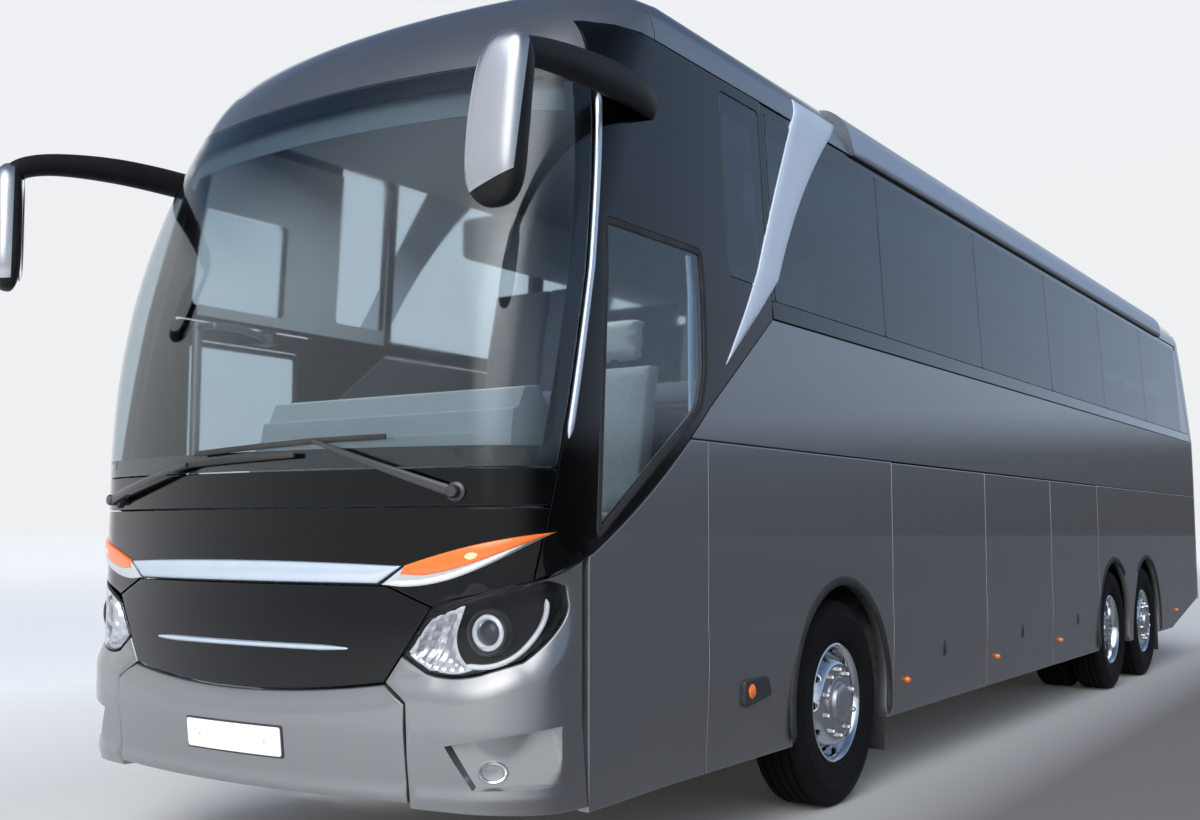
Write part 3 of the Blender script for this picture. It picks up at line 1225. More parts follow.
for side, name in ((1, "side_wall_left"), (-1, "side_wall_right")):
    walls = [side_sheet(w, side, step=0.05, grid=(0.22, 0.08)) for w in side_wall(side)]
    wall = show(name, joined(walls), coach_paint)
    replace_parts(wall, name)
    band_front = CAB_REAR_X - 0.003
    belt = [(joint_x(2.42), 2.421), (band_front, 2.421), (band_front, SILL_Z), (joint_x(SILL_Z), SILL_Z)]
    header = [(joint_x(GLASS_TOP_Z), GLASS_TOP_Z + 0.004), (band_front, GLASS_TOP_Z + 0.004),
              (band_front, top_line), (joint_x(3.49), top_line)]
    nose_end = box_ring(PANE_JOINTS[0] + 0.004, band_front, SILL_Z + 0.002, GLASS_TOP_Z)
    tail_end = [(joint_x(z), z) for z in np.linspace(GLASS_TOP_Z, SILL_Z + 0.002, 20)]
    tail_end += [(PANE_JOINTS[-1] - 0.004, SILL_Z + 0.002), (PANE_JOINTS[-1] - 0.004, GLASS_TOP_Z)]
    pieces = [
        (belt, (0.3, 0.02), 0.003, {"form": lambda s, z, place: 0.006 * np.clip((SILL_Z - z) / 0.09, 0, 1)}),
        (header, (0.3, 0.02), 0.002, {"base": -0.008}), (nose_end, (0.1, 0.1), 0.002, {}),
        (tail_end, (0.1, 0.1), 0.002, {})]
    half_post = 0.063
    for x in PANE_JOINTS[1:]:
        post = box_ring(x - half_post, x + half_post, SILL_Z, GLASS_TOP_Z)
        pieces.append((post, (0.06, 0.1), 0.001, {"base": -0.007, "thick": 0.04}))
    trims = [side_sheet(outline, side, step=0.06, grid=grid, rim=rim, **sizes)
             for outline, grid, rim, sizes in pieces]
    show(name + "_trim", joined(trims), black_gloss)

# ---- Crescent strips and roof coves ----
# Bright pressed blades where cab and saloon glass meet, and the long satin fairings that
# cover the air ducts along the roof's edges.
blade_outline = [(-0.18, 3.64), (0.3, 3.2, "arc"), (0.72, 2.62), (1.28, 2.15), (0.93, 2.64),
                 (0.64, 3.16, "arc"), (0.4, 3.56), (0.36, 3.64)]
blade_outline = side_view([(AXLE_X + x, *rest) for x, *rest in blade_outline])
crescent = sheet(nose, blade_outline, grid=(0.05, 0.03), rim=0.004, thick=0.008, base=0.001,
                 form=rolled(blade_outline, 0.009, 0.03))
crescent_silver = moulded("crescent_silver", (0.52, 0.60, 0.72), 0.24, 0.0, 0.05, Coat_Weight=0.8)
crescents = show("pillar_strips", both(crescent), crescent_silver, 50.0)
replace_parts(crescents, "pillar_strips")
COVE_FRONT_X, COVE_REAR_X = AXLE_X - 0.15, AXLE_X - 8.75
COVE_Y, COVE_RADIUS = 1.235, 0.14
section = [(1.15, 3.507), (1.205, 3.504), (COVE_Y - 0.006, 3.504), (COVE_Y, 3.512), (COVE_Y + 0.001, 3.55),
           (COVE_Y, 3.6)]
section += [(COVE_Y - COVE_RADIUS * (1 - cos(t)), 3.60 + COVE_RADIUS * sin(t))
            for t in np.linspace(0.1, pi / 2, 12)]
section += [(1.00, 3.735), (0.945, 3.70), (1.0, 3.64), (1.10, 3.56)]
spans = [(COVE_REAR_X + max(0.0, z - 3.6) * 0.8, COVE_FRONT_X - 0.26 + (z - 3.4) * 0.7) for y, z in section]
rings = [[(back + (front - back) * share, y, z) for (y, z), (back, front) in zip(section, spans)]
         for share in np.linspace(0, 1, 60)]
cove = flipped(lofted(rings))
cove_satin = bright_metal("cove_satin", (0.42, 0.47, 0.54), 0.30, 0.2, 0.80)
coves = show("roof_coves", both(cove), cove_satin)
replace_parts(coves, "roof_coves")

# ---- Lower sides ----
# Skirts pressed from sheet, with a faint crease along them and a slight tuck below it.
# The wheel arches have rubber lips.
DRIVE_AXLE_X, TAG_AXLE_X = AXLE_X - 6.08, AXLE_X - 7.43
SKIRT_Z = 0.38
ARCH_R, ARCH_Z = 0.60, 0.53
FLAPS_REAR_X = AXLE_X - 5.50


def side_foot(x):
    low = SKIRT_Z
    for axle in (AXLE_X, DRIVE_AXLE_X, TAG_AXLE_X):
        if abs(x - axle) <= ARCH_R:
            low = max(low, ARCH_Z + sqrt(max(ARCH_R ** 2 - (x - axle) ** 2, 0.0)))
    ramp = SKIRT_Z + (AXLE_X - 8.70 - x) * (0.69 - SKIRT_Z) / (AXLE_X - 8.70 - TAIL_X + 0.05)
    return max(low, ramp)


def side_head(x):
    return min(1.798, float(mask_z(x)) - 0.004) if x > CAB_REAR_X else 1.798


def side_strip(x0, x1, low=side_foot, high=side_head):
    xs = set(np.linspace(x0, x1, max(2, int((x1 - x0) / 0.06))))
    for axle in (AXLE_X, DRIVE_AXLE_X, TAG_AXLE_X):
        xs |= {axle + ARCH_R * cos(t) for t in np.linspace(0, pi, 60)}
        xs |= {axle - ARCH_R - 0.0005, axle + ARCH_R + 0.0005}
    xs |= {p[0] for p in mask_line}
    xs = sorted(x for x in xs if x0 <= x <= x1)
    kept = [xs[0]]
    for x in xs[1:]:
        if x - kept[-1] > 0.0003:
            kept.append(x)
    return [(x, low(x)) for x in kept] + [(x, high(x)) for x in kept[::-1]]


def side_form(s, z, place):
    """A faint crease with a hollow over it and a tuck under it."""
    hollow = -0.004 * smooth_step(z, 0.93, 1.00) * (1 - smooth_step(z, 1.0, 1.35))
    tuck = -0.020 * smooth_step(0.95 - z, 0.0, 0.57) ** 1.3
    ahead = 1 - smooth_step(place[:, 0], AXLE_X + 1.7, AXLE_X + 2.37)
    return (hollow + tuck) * ahead


def lower_side(x0, x1, side, end=nose):
    return sheet(end, side_view(side_strip(x0, x1), side, end, step=0.06), grid=(0.2, 0.045), rim=0.004,
                 form=side_form)


def arch_lip(axle, first=-12.0, last=192.0):
    """A rubber lip round a wheel arch."""
    line = [(axle + (ARCH_R + 0.022) * cos(radians(a)),
             ARCH_Z + (ARCH_R + 0.022) * sin(radians(a))) for a in np.linspace(first, last, 60)]
    return ridge([(nose.from_x(x, z, 1), z) for x, z in line], 0.012, 0.050, base=-0.006, taper=0.02)


SEAM = 0.003
lower = {1: [(AXLE_X + 1.45 + SEAM, SIDE_FRONT_X - 0.006),
             (AXLE_X - 0.69 + SEAM, AXLE_X + 1.45 - SEAM), (JOINT_X + SEAM, FLAPS_REAR_X - SEAM)],
         -1: [(DOOR_X[1] + GAP, SIDE_FRONT_X - 0.006), (AXLE_X - 0.69 + SEAM, DOOR_X[0] - GAP),
              (FLAPS_REAR_X + SEAM, MID_DOOR_X[0] - 0.012), (JOINT_X + SEAM, FLAPS_REAR_X - SEAM)]}
for side, name in ((1, "skirt_left"), (-1, "skirt_right")):
    panels = [lower_side(x0, x1, side) for x0, x1 in lower[side]]
    skirt = show(name, joined(panels), coach_paint)
    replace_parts(skirt, name)
lips = joined([arch_lip(AXLE_X), arch_lip(DRIVE_AXLE_X, -12.0, 132.0), arch_lip(TAG_AXLE_X, 48.0, 192.0)])
show("arch_lips", both(lips), rubber, 50.0)


# ---- Flaps ----
# Pressed luggage flaps hinged along their top edges, each with one recessed lock and a small
# orange marker lamp near its foot.
FLAP_TOP_Z = 1.795
FLAPS = (("luggage_flap_left_1", 1, -2.380, -0.690), ("luggage_flap_left_2", 1, -4.000, -2.380),
         ("luggage_flap_left_3", 1, -5.500, -4.000), ("luggage_flap_right_1", -1, -2.500, -0.690),
         ("luggage_flap_right_2", -1, -4.426, -2.500))


def block(low, high, cut=0.004):
    """A block with its edges cut off."""
    low, high = np.array(low, float), np.array(high, float)
    work = bmesh.new()
    bmesh.ops.create_cube(work, size=1.0)
    for v in work.verts:
        v.co = Vector(low + (np.array(v.co) + 0.5) * (high - low))
    bmesh.ops.bevel(work, geom=work.edges[:], offset=cut, segments=2, profile=0.5, affect="EDGES")
    work.verts.index_update()
    made = np.array([tuple(v.co) for v in work.verts]), [tuple(v.index for v in f.verts) for f in work.faces]
    work.free()
    return made


LAMP_DOME = [(0.036, -0.01), (0.036, 0.008), (0.031, 0.018), (0.018, 0.025), (0.001, 0.027)]


def side_marker(x):
    """A small round lamp low on the left side."""
    return turned([(0.5 * r, out) for r, out in LAMP_DOME], (x, HALF - 0.014, 0.560), (0, 1, 0), 20)


def on_side(side, solid):
    return solid if side > 0 else other_side(solid)


for name, side, rear, front in FLAPS:
    x0, x1 = AXLE_X + rear + 0.004, AXLE_X + front - 0.004
    outline = side_strip(x0, x1, side_foot, lambda x: FLAP_TOP_Z)
    flap = side_sheet(outline, side, step=0.06, grid=(0.2, 0.045), rim=0.004, form=side_form)
    flap = show(name, flap, coach_paint, body=name)
    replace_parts(flap, name)
    middle = 0.5 * (x0 + x1)
    y = HALF - 0.008
    lock = [block((middle - 0.022, y - 0.03, 0.645), (middle + 0.022, y + 0.004, 0.745), 0.005),
            block((middle - 0.009, y, 0.665), (middle + 0.009, y + 0.010, 0.725), 0.004)]
    lock = joined(lock)
    show(name + "_lock", on_side(side, lock), black_plastic, 30.0, body=name)
    marker = side_marker(x1 - 0.20)
    show(name + "_marker", on_side(side, marker), orange_lens, 50.0, body=name)

# ---- Side marker lamps ----
# A round orange repeater in a dark wedge ahead of the front wheel, and a small orange marker on
# the skirt behind the rear wheels.
marker_outline = rounded([(AXLE_X + 0.865, 0.655), (AXLE_X + 1.135, 0.62),
                          (AXLE_X + 1.14, 0.745), (AXLE_X + 0.9, 0.745)], 0.03)
base_plate = side_sheet(
    marker_outline, 1, step=0.03, grid=(0.03, 0.02), rim=0.004, thick=0.02, base=-0.002, form=lambda s, z,
    place: 0.01 + 0 * s)
show("repeater_bases", both(base_plate), black_plastic)
repeater_at = (AXLE_X + 1.07, HALF - 0.006, 0.690)
show("repeaters", both(
    joined([turned(LAMP_DOME, repeater_at, (0, 1, 0), 28), side_marker(AXLE_X - 8.9)])), orange_lens,
    50.0)

# ---- Wheels ----
# Radial tyres with four tread grooves and ribbed walls on forged polished rims. The front and tag
# rims bulge outwards with ten hand holes and ten nuts, the twin rims are dished.
HUB_Z, WHEEL_Y, TWIN = 0.525, 1.10, 0.335
wall = [(0.288, 0.1), (0.3, 0.116), (0.318, 0.124), (0.324, 0.133), (0.334, 0.131), (0.34, 0.137),
        (0.4, 0.144), (0.43, 0.1445), (0.436, 0.147), (0.444, 0.146), (0.45, 0.142), (0.488, 0.132),
        (0.506, 0.123), (0.518, 0.112), (0.5245, 0.098)]
tread = []
for groove in (0.075, 0.025, -0.025, -0.075):
    tread += [(0.525, groove + 0.0075), (0.512, groove + 0.005), (0.512, groove - 0.005),
              (0.525, groove - 0.0075)]
tyre_profile = wall + tread + [(r, -a) for r, a in wall[::-1]] + [(0.296, -0.08), (0.3, 0.0), (0.296, 0.08)]
tyre_profile = tyre_profile[::-1] + [tyre_profile[-1]]
tyre_mesh = turned(tyre_profile, (0, 0, 0), (0, 1, 0), 96)

tyre_rubber, tree, shader = finish("tyre_rubber", Specular_IOR_Level=0.15)
made = grouped(tree, plastic, {"Colour": (0.004, 0.004, 0.0045, 1), "Roughness": 0.75, "Dust": 0.02})
local = node(tree, "SeparateXYZ", {0: own_places(tree)}).outputs
reach = maths(tree, "ADD", *(maths(tree, "MULTIPLY", local[axis], local[axis]) for axis in "XZ"))
slant = maths(tree, "MULTIPLY_ADD", local["Y"], 6.0, maths(tree, "ARCTAN2", local["Z"], local["X"]))
sipe = maths(tree, "SINE", maths(tree, "MULTIPLY", slant, 84.0))
blocks = maths(tree, "MULTIPLY", spread(tree, sipe, -0.95, -0.7), spread(tree, reach, 0.245, 0.262))
height = maths(tree, "MULTIPLY_ADD", made["Height"], 0.06, blocks)
feed(shader, {"Base Color": made["Colour"], "Roughness": made["Roughness"],
              "Normal": bumped(tree, height, 0.8, 0.004)})

alloy = bright_metal("polished_alloy", (0.62, 0.65, 0.69), 0.10, 0.2)
barrel_profile = [
    (0.286, -0.1), (0.302, -0.112), (0.303, -0.12), (0.294, -0.124), (0.278, -0.112), (0.27, -0.08),
    (0.262, -0.02), (0.262, 0.04), (0.27, 0.085), (0.278, 0.112), (0.294, 0.124), (0.303, 0.12),
    (0.302, 0.112), (0.286, 0.1), (0.28, 0.0), (0.286, -0.1)]
barrel = turned(barrel_profile, (0, 0, 0), (0, 1, 0), 96)


def ring_of(radius, centre=(0.0, 0.0), count=40):
    return [(centre[0] + radius * cos(t), centre[1] + radius * sin(t)) for t in round_turns(count)]


def disc(profile, hole_reach=0.243, hole_radius=0.025):
    """The rim's disc: ten hand holes, its outer face following a profile (radius, distance out)."""
    holes = [ring_of(hole_radius, (hole_reach * cos(a), hole_reach * sin(a)), 22)
             for a in np.arange(10) * pi / 5]
    flat, back, faces = cut_sheet(
        ring_of(0.266, count=110), holes, (0.022, 0.022), 0.0025,
        [ring_of(r, count=80) + [(r, 0.0)] for r in (0.200, 0.212)])
    out = np.interp(np.linalg.norm(flat, axis=1), *zip(*profile)) - 0.6 * back
    outer = np.stack([flat[:, 0], out, flat[:, 1]], 1)
    return closed(outer, outer - (0, 0.014, 0), faces[:, ::-1])


bulged = [(0.0, 0.128), (0.196, 0.128), (0.206, 0.126), (0.214, 0.118), (0.262, 0.060), (0.27, 0.055)]
dished = [(0.0, -0.100), (0.196, -0.100), (0.206, -0.098), (0.214, -0.090), (0.262, -0.035), (0.27, -0.03)]


def nuts(out):
    body = [(0.001, 0.03), (0.011, 0.029), (0.0145, 0.024), (0.0165, 0.004), (0.021, 0.003), (0.021, 0.0),
            (0.001, 0.0)]
    return joined([turned(body[::-1], (0.1675 * cos(a), out, 0.1675 * sin(a)), (0, 1, 0), 6)
                   for a in np.arange(10) * pi / 5 + pi / 10])


front_hub = turned([
    (0.132, 0.12), (0.132, 0.133), (0.126, 0.137), (0.104, 0.137), (0.099, 0.14), (0.094, 0.158),
    (0.08, 0.164), (0.05, 0.166), (0.001, 0.167)], (0, 0, 0), (0, 1, 0), 48)
drive_hub = turned([
    (0.15, -0.104), (0.15, -0.085), (0.13, -0.08), (0.118, -0.05), (0.11, 0.07), (0.104, 0.08), (0.09, 0.084),
    (0.086, 0.092), (0.001, 0.094)], (0, 0, 0), (0, 1, 0), 48)
studs = joined([turned(
    [(0.008, 0.08), (0.008, 0.098), (0.001, 0.101)], (0.096 * cos(a), 0.0, 0.096 * sin(a)), (0, 1, 0), 6)
    for a in np.arange(12) * pi / 6])
hub_paint = bright_metal("hub_metal", (0.42, 0.43, 0.45), 0.32, 0.4, 0.9)


def moved(solid, by):
    return np.array(solid[0]) + by, solid[1]


twin_shift = np.array((0.0, -TWIN, 0.0))
spacer = turned([(0.262, -0.24), (0.262, -0.1), (0.28, -0.1), (0.28, -0.24), (0.262, -0.24)], (0, 0, 0),
                (0, 1, 0), 64)
single = [tyre_mesh], [barrel, disc(bulged)], [front_hub, nuts(0.126)]
twinned = ([tyre_mesh, moved(tyre_mesh, twin_shift)],
           [barrel, moved(barrel, twin_shift), disc(dished), spacer], [drive_hub, studs, nuts(-0.102)])
for kind, parts, x, body in (("front", single, AXLE_X, "wheel_front_"),
                             ("drive", twinned, DRIVE_AXLE_X, "wheels_drive_"),
                             ("tag", single, TAG_AXLE_X, "wheel_tag_")):
    for side, name in ((1, "left"), (-1, "right")):
        for label, solids, material, slot, sharp in zip(
                ("tyre_", "rim_", "hub_"), parts, (tyre_rubber, alloy, hub_paint), ("tyre", "alloy", "alloy"),
                (40.0, 40.0, 30.0)):
            piece = label + kind + "_" + name
            made = show(piece, on_side(side, joined(solids)), material, sharp, body=body + name,
                        at=(x, side * WHEEL_Y, HUB_Z))
            made.name = "visible_" + piece
            if label != "hub_":
                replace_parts(made, piece)


# ---- Mirrors ----
# Large heads hung on thick swept arms: black housings, satin shells over their fronts and
# silvered glass behind. The right head is turned further towards the driver.
def smooth_route(points, steps=10):
    """A smooth line through places, each with any further values beside it."""
    p = np.array(points, float)
    p = np.vstack([2 * p[0] - p[1], p, 2 * p[-1] - p[-2]])
    made = []
    for i in range(1, len(p) - 2):
        for t in np.arange(steps) / steps:
            made.append(0.5 * (
                2 * p[i] + (p[i + 1] - p[i - 1]) * t + (2 * p[i - 1] - 5 * p[i] + 4 * p[i + 1] - p[i + 2])
                * t ** 2 + (3 * p[i] - p[i - 1] - 3 * p[i + 1] + p[i + 2]) * t ** 3))
    made.append(p[-2])
    return np.array(made)


def swept(route, sides=20, up=(0, 0, 1)):
    """A closed oval bar along a route of (x, y, z, half width, half height)."""
    route = np.array(route, float)
    rings = []
    for here, along in zip(route, np.gradient(route[:, :3], axis=0)):
        along = Vector(along).normalized()
        side = along.cross(Vector(up)).normalized()
        over = side.cross(along).normalized()
        rings.append([Vector(here[:3]) + side * here[3] * cos(turn) + over * here[4] * sin(turn)
                      for turn in round_turns(sides)])
    return lofted(rings)


def head_lean(z):
    """How far the head stands outwards at a level from its middle."""
    return 0.030 * (z / 0.3) + 0.015 * (z / 0.3) ** 2


def mirror_head(scale=1.0):
    """The head's outside about its own middle: rounded sections that narrow at both ends."""
    rings = []
    for t in np.linspace(-1, 1, 41):
        z = 0.300 * sin(0.5 * pi * t)
        narrow = max(0.0, 1 - abs(sin(0.5 * pi * t)) ** 5.0) ** 0.5
        wide = (0.108 - 0.012 * max(0.0, z / 0.3)) * (0.10 + 0.90 * narrow) * scale
        deep = 0.078 * (0.08 + 0.92 * narrow) * scale
        ring = []
        for turn in round_turns(40):
            c, s = cos(turn), sin(turn)
            flat_back = 0.62 if c < 0 else 1.0
            ring.append((deep * flat_back * copysign(abs(c) ** 0.75, c),
                         head_lean(z) + wide * copysign(abs(s) ** 0.62, s), z * scale))
        rings.append(ring)
    return lofted(rings)


def placed(solid, centre, turn):
    c, s = cos(turn), sin(turn)
    p = np.array(solid[0])
    return np.stack([centre[0] + c * p[:, 0] - s * p[:, 1], centre[1] + s * p[:, 0] + c * p[:, 1],
                     centre[2] + p[:, 2]], 1), solid[1]


housing = mirror_head(0.985)
shell_faces = part_of(*mirror_head(1.0),
                      [((-0.012, 0, 0), (-1, -0.1, 0)), ((0, 0, -0.205), (-0.2, 0.42, -1.0)),
                       ((0, 0.072, 0), (-0.5, 1, -0.13))])
glass_ring = [(
    0.08 * copysign(abs(cos(t)) ** 0.6, cos(t)), 0.245 * copysign(abs(sin(t)) ** 0.45, sin(t)))
    for t in np.linspace(0, 2 * pi, 60)[:-1]]
flat, back, faces = cut_sheet(glass_ring, [], (0.04, 0.04), 0.003)
silvered = np.stack([np.full(len(flat), -0.052) + back, flat[:, 0] + head_lean(flat[:, 1]), flat[:, 1]], 1)
silvered = np.concatenate([silvered, silvered + (0.012, 0, 0)]), \
    [tuple(f) for f in faces[:, ::-1].tolist()] + [tuple(i + len(flat) for i in f) for f in faces.tolist()]
mirror_silver = bright_metal("mirror_silver", (0.88, 0.89, 0.90), 0.01, 0.0, 1.0, 0.0)
mirror_black = moulded("mirror_black", (0.006, 0.006, 0.007), 0.42, 0.03, 0.2, Specular_IOR_Level=0.2)
shell_paint = body_paint("satin_silver_shell", (0.36, 0.38, 0.41), 0.2, 0.24, 0.05)
head_z = 2.775
left_head = ((6.706, 1.402, head_z), radians(13.0))
right_head = ((6.696, 1.402, head_z), radians(26.0))
shells, housings, glasses = [], [], []
for (centre, turn), flip in ((left_head, False), (right_head, True)):
    for target, solid in ((shells, shell_faces), (housings, housing), (glasses, silvered)):
        made = placed(solid, centre, turn)
        target.append(other_side(made) if flip else made)
left_arm = swept(smooth_route([
    (5.46, 1.235, 3.155, 0.012, 0.026), (5.58, 1.285, 3.165, 0.042, 0.062),
    (5.80, 1.335, 3.155, 0.050, 0.074), (6.15, 1.385, 3.115, 0.047, 0.068),
    (6.48, 1.410, 3.070, 0.045, 0.056), (6.66, 1.415, 3.020, 0.044, 0.048),
    (6.700, 1.413, 2.950, 0.040, 0.042)]))
right_arm = swept(smooth_route([
    (5.46, 1.235, 3.090, 0.012, 0.026), (5.58, 1.285, 3.115, 0.042, 0.058),
    (5.80, 1.335, 3.145, 0.050, 0.066), (6.15, 1.385, 3.150, 0.047, 0.062),
    (6.48, 1.405, 3.110, 0.045, 0.052), (6.66, 1.410, 3.045, 0.044, 0.046),
    (6.700, 1.410, 2.960, 0.040, 0.042)]))
mirrors = show("mirror_housings", joined(housings + [left_arm, other_side(right_arm)]), mirror_black,
               50.0)
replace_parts(mirrors, "mirrors")
thickened(show("mirror_shells", joined(shells), shell_paint, 60.0), 0.006)
show("mirror_glass", joined(glasses), mirror_silver, 60.0)


# ---- Wipers ----
# Two pantograph arms that taper from their pivots, with rubber blades in spring frames.
def off_nose(y, z, out):
    return tuple(nose.place(nose.from_y(y, z), z, out))


arms, blades = [], []
for foot, head, high, low in (((0.978, 1.552), (0.396, 1.750), (0.709, 1.757), (-0.260, 1.720)),
                              ((-0.926, 1.545), (-0.300, 1.678), (-0.450, 1.655), (0.300, 1.700))):
    ys, zs = np.linspace(foot[0], head[0], 9), np.linspace(foot[1], head[1], 9)
    size = np.linspace(1.0, 0.45, 9)
    arms.append(swept([(*off_nose(y, z, 0.040 + 0.012 * sin(3.1 * k / 8)), 0.008, 0.021 * w)
                       for k, (y, z, w) in enumerate(zip(ys, zs, size))], 12))
    root = off_nose(foot[0], foot[1], 0.0)
    out = Vector(off_nose(foot[0], foot[1], 1.0)) - Vector(root)
    arms.append(turned([(0.036, 0.0), (0.036, 0.012), (0.024, 0.018), (0.024, 0.046), (0.019, 0.054),
                        (0.001, 0.056)], root, out, 28))
    for share, depth, wide, tall in ((1.0, 0.030, 0.006, 0.011), (0.96, 0.010, 0.004, 0.010)):
        ends = [np.array(head) + (np.array(p) - head) * share for p in (high, low)]
        ys, zs = ([e[i] for e in (ends[0], head, ends[1])] for i in (0, 1))
        t = np.linspace(0, 2, 33)
        line = [(float(np.interp(v, (0, 1, 2), ys)), float(np.interp(v, (0, 1, 2), zs))) for v in t]
        blades.append(swept([(*off_nose(y, z, depth), wide, tall) for y, z in line], 10))
arm_black = moulded("wiper_arm_black", (0.02, 0.021, 0.023), 0.28, 0.02, 0.1, Coat_Weight=0.4)
wiper_arms = show("wiper_arms", joined(arms), arm_black, 50.0)
show("wiper_blades", joined(blades), rubber, 50.0)
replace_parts(wiper_arms, "wipers")


# ---- Doors ----
# Two plug doors on the right: a rigid aluminium leaf with a bonded pane, a flush lock and two
# lugs for the turning arms. The front leaf is black above the cab's falling line.
def two_tone(made, material, chosen):
    """Give the second finish to the faces whose middles are chosen."""
    made.data.materials.append(material)
    for polygon in made.data.polygons:
        polygon.material_index = int(chosen(polygon.center))


MID_DOOR_TOP_Z = 2.40
DOOR_EDGE, PANE_INSET, ARM_EYE_Y = 0.004, 0.070, -(HALF - 0.120)
arm_steel = bright_metal("door_arm_steel", (0.30, 0.31, 0.32), 0.38, 0.3, 0.9)
for name, (rear, front), top, (low, high), eye_x, pane_glass in (
        ("front_door", DOOR_X, DOOR_Z[1], (1.000, 2.360), 5.386, cab_glass),
        ("mid_door", MID_DOOR_X, MID_DOOR_TOP_Z, (1.300, 2.300), -1.216, tinted)):
    rear, front = rear + DOOR_EDGE, front - DOOR_EDGE
    leaf_ring = box_ring(rear, front, DOOR_Z[0], top)
    pane_ring = rounded(box_ring(rear + PANE_INSET, front - PANE_INSET, low, high), 0.05)
    fold = [(nose.from_x(x, z, -1), z) for x, z in mask_line if rear + 0.01 < x < front - 0.01]
    leaf = sheet(nose, side_view(rounded(leaf_ring, 0.02), -1, step=0.04),
                 [side_view(pane_ring, -1, step=0.04)], grid=(0.08, 0.06), rim=0.005, thick=0.046,
                 form=side_form, creases=[fold] if name == "front_door" else [])
    lugs = []
    for z in (0.640, top - 0.045):
        for foot in (z - 0.038, z + 0.028):
            lugs.append(block((eye_x - 0.035, -1.231, foot), (eye_x + 0.035, -1.120, foot + 0.010), 0.002))
        lugs.append(turned([(0.012, -0.038), (0.012, 0.038), (0.001, 0.038)], (eye_x, ARM_EYE_Y, z),
                           (0, 0, 1), 20))
    door = show(name, leaf, coach_paint, body=name)
    if name == "front_door":
        two_tone(door, black_gloss, lambda p: p.z > mask_z(p.x))
    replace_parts(door, name)
    show(name + "_lugs", joined(lugs), arm_steel, 30.0, body=name)
    pane = side_sheet(set_in(pane_ring, 0.003), -1, step=0.04, rim=0.002, thick=0.005, base=-0.002)
    show(name + "_glass", pane, pane_glass, 60.0,
         body=name)
    band = sheet(nose, side_view(set_in(pane_ring, 0.002), -1, step=0.04),
                 [side_view(set_in(pane_ring, 0.03), -1, step=0.04)], rim=0.001, thick=0.01, base=-0.008)
    lock_x = rear + 0.035
    lock = other_side(block((lock_x - 0.020, HALF - 0.02, 1.08), (lock_x + 0.020, HALF + 0.006, 1.15), 0.006))
    show(name + "_seal", joined([band, lock]), rubber, body=name)
    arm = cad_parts[name + "_arm"]
    arm.data.materials.clear()
    arm.data.materials.append(arm_steel)

# ---- Number plates ----
# Blank pale plates in slim black holders, each on two small screws.
plate_white = moulded("plate_face", (0.80, 0.81, 0.82), 0.30, 0.05, 0.05, Coat_Weight=0.6)
for end, name, middle_z, swell, body in ((nose, "front", 0.620, bumper_form, "coach_body"),
                                         (tail, "rear", 1.130, None, "engine_flap")):
    solids = []
    for half, tall, base in ((0.268, 0.062, 0.004), (0.260, 0.055, 0.008)):
        ring = rounded(box_ring(-half, half, middle_z - tall, middle_z + tall), 0.012)
        solids.append(sheet(end, front_view(ring, end), grid=(0.05, 0.03), rim=0.002, thick=0.004, base=base,
                            form=swell))
    screws = []
    for y in (-0.18, 0.18):
        s = end.from_y(y, middle_z)
        lift = float(bumper_form(np.array([s]), np.array([middle_z]),
                                 end.place([s], middle_z))[0]) if swell else 0.0
        root, tip = (Vector(end.place(s, middle_z, lift + out)) for out in (0.006, 1.006))
        screws.append(turned([(0.007, 0.0), (0.007, 0.003), (0.004, 0.005), (0.001, 0.005)], root, tip - root,
                             16))
    show("plate_holder_" + name, solids[0], black_plastic, body=body)
    show("number_plate_" + name, solids[1], plate_white, body=body)
    show("plate_screws_" + name, joined(screws), chrome, body=body)


# ---- Tail ----
# Painted rear wall with a black band round its window, upright lamp clusters at the corners and
# a ventilated flap over the engine, hinged along its top.
REAR_EDGE = 0.012
LAMP_Y, LAMP_Z = (1.000, 1.190), (0.900, 1.800)
FLAP_Y, FLAP_Z = 0.930, (0.720, 1.880)
VENT_Y, VENT_Z = 0.780, (1.440, 1.780)
BAND_Z = (2.420, 3.405)


def tail_foot(s):
    x = float(tail.place(s, 0.66)[0])
    return side_foot(x)


def rear_side(z):
    return tail.from_x(joint_x(z) - REAR_EDGE, z, 1)


levels = np.linspace(side_foot(JOINT_X) + 0.002, EAVES_Z - 0.003, 50)
right_edge = [(rear_side(z), z) for z in levels]
top = [(s, levels[-1]) for s in np.linspace(right_edge[-1][0], -right_edge[-1][0], 60)[1:-1]]
foot = [(s, tail_foot(s)) for s in np.linspace(-right_edge[0][0], right_edge[0][0], 90)[1:-1]]
rear_ring = right_edge + top + [(-s, z) for s, z in right_edge[::-1]] + foot


def upright(y0, y1, z0, z1, corner, step=0.03):
    return front_view(rounded(box_ring(y0, y1, z0, z1), corner), tail, step)


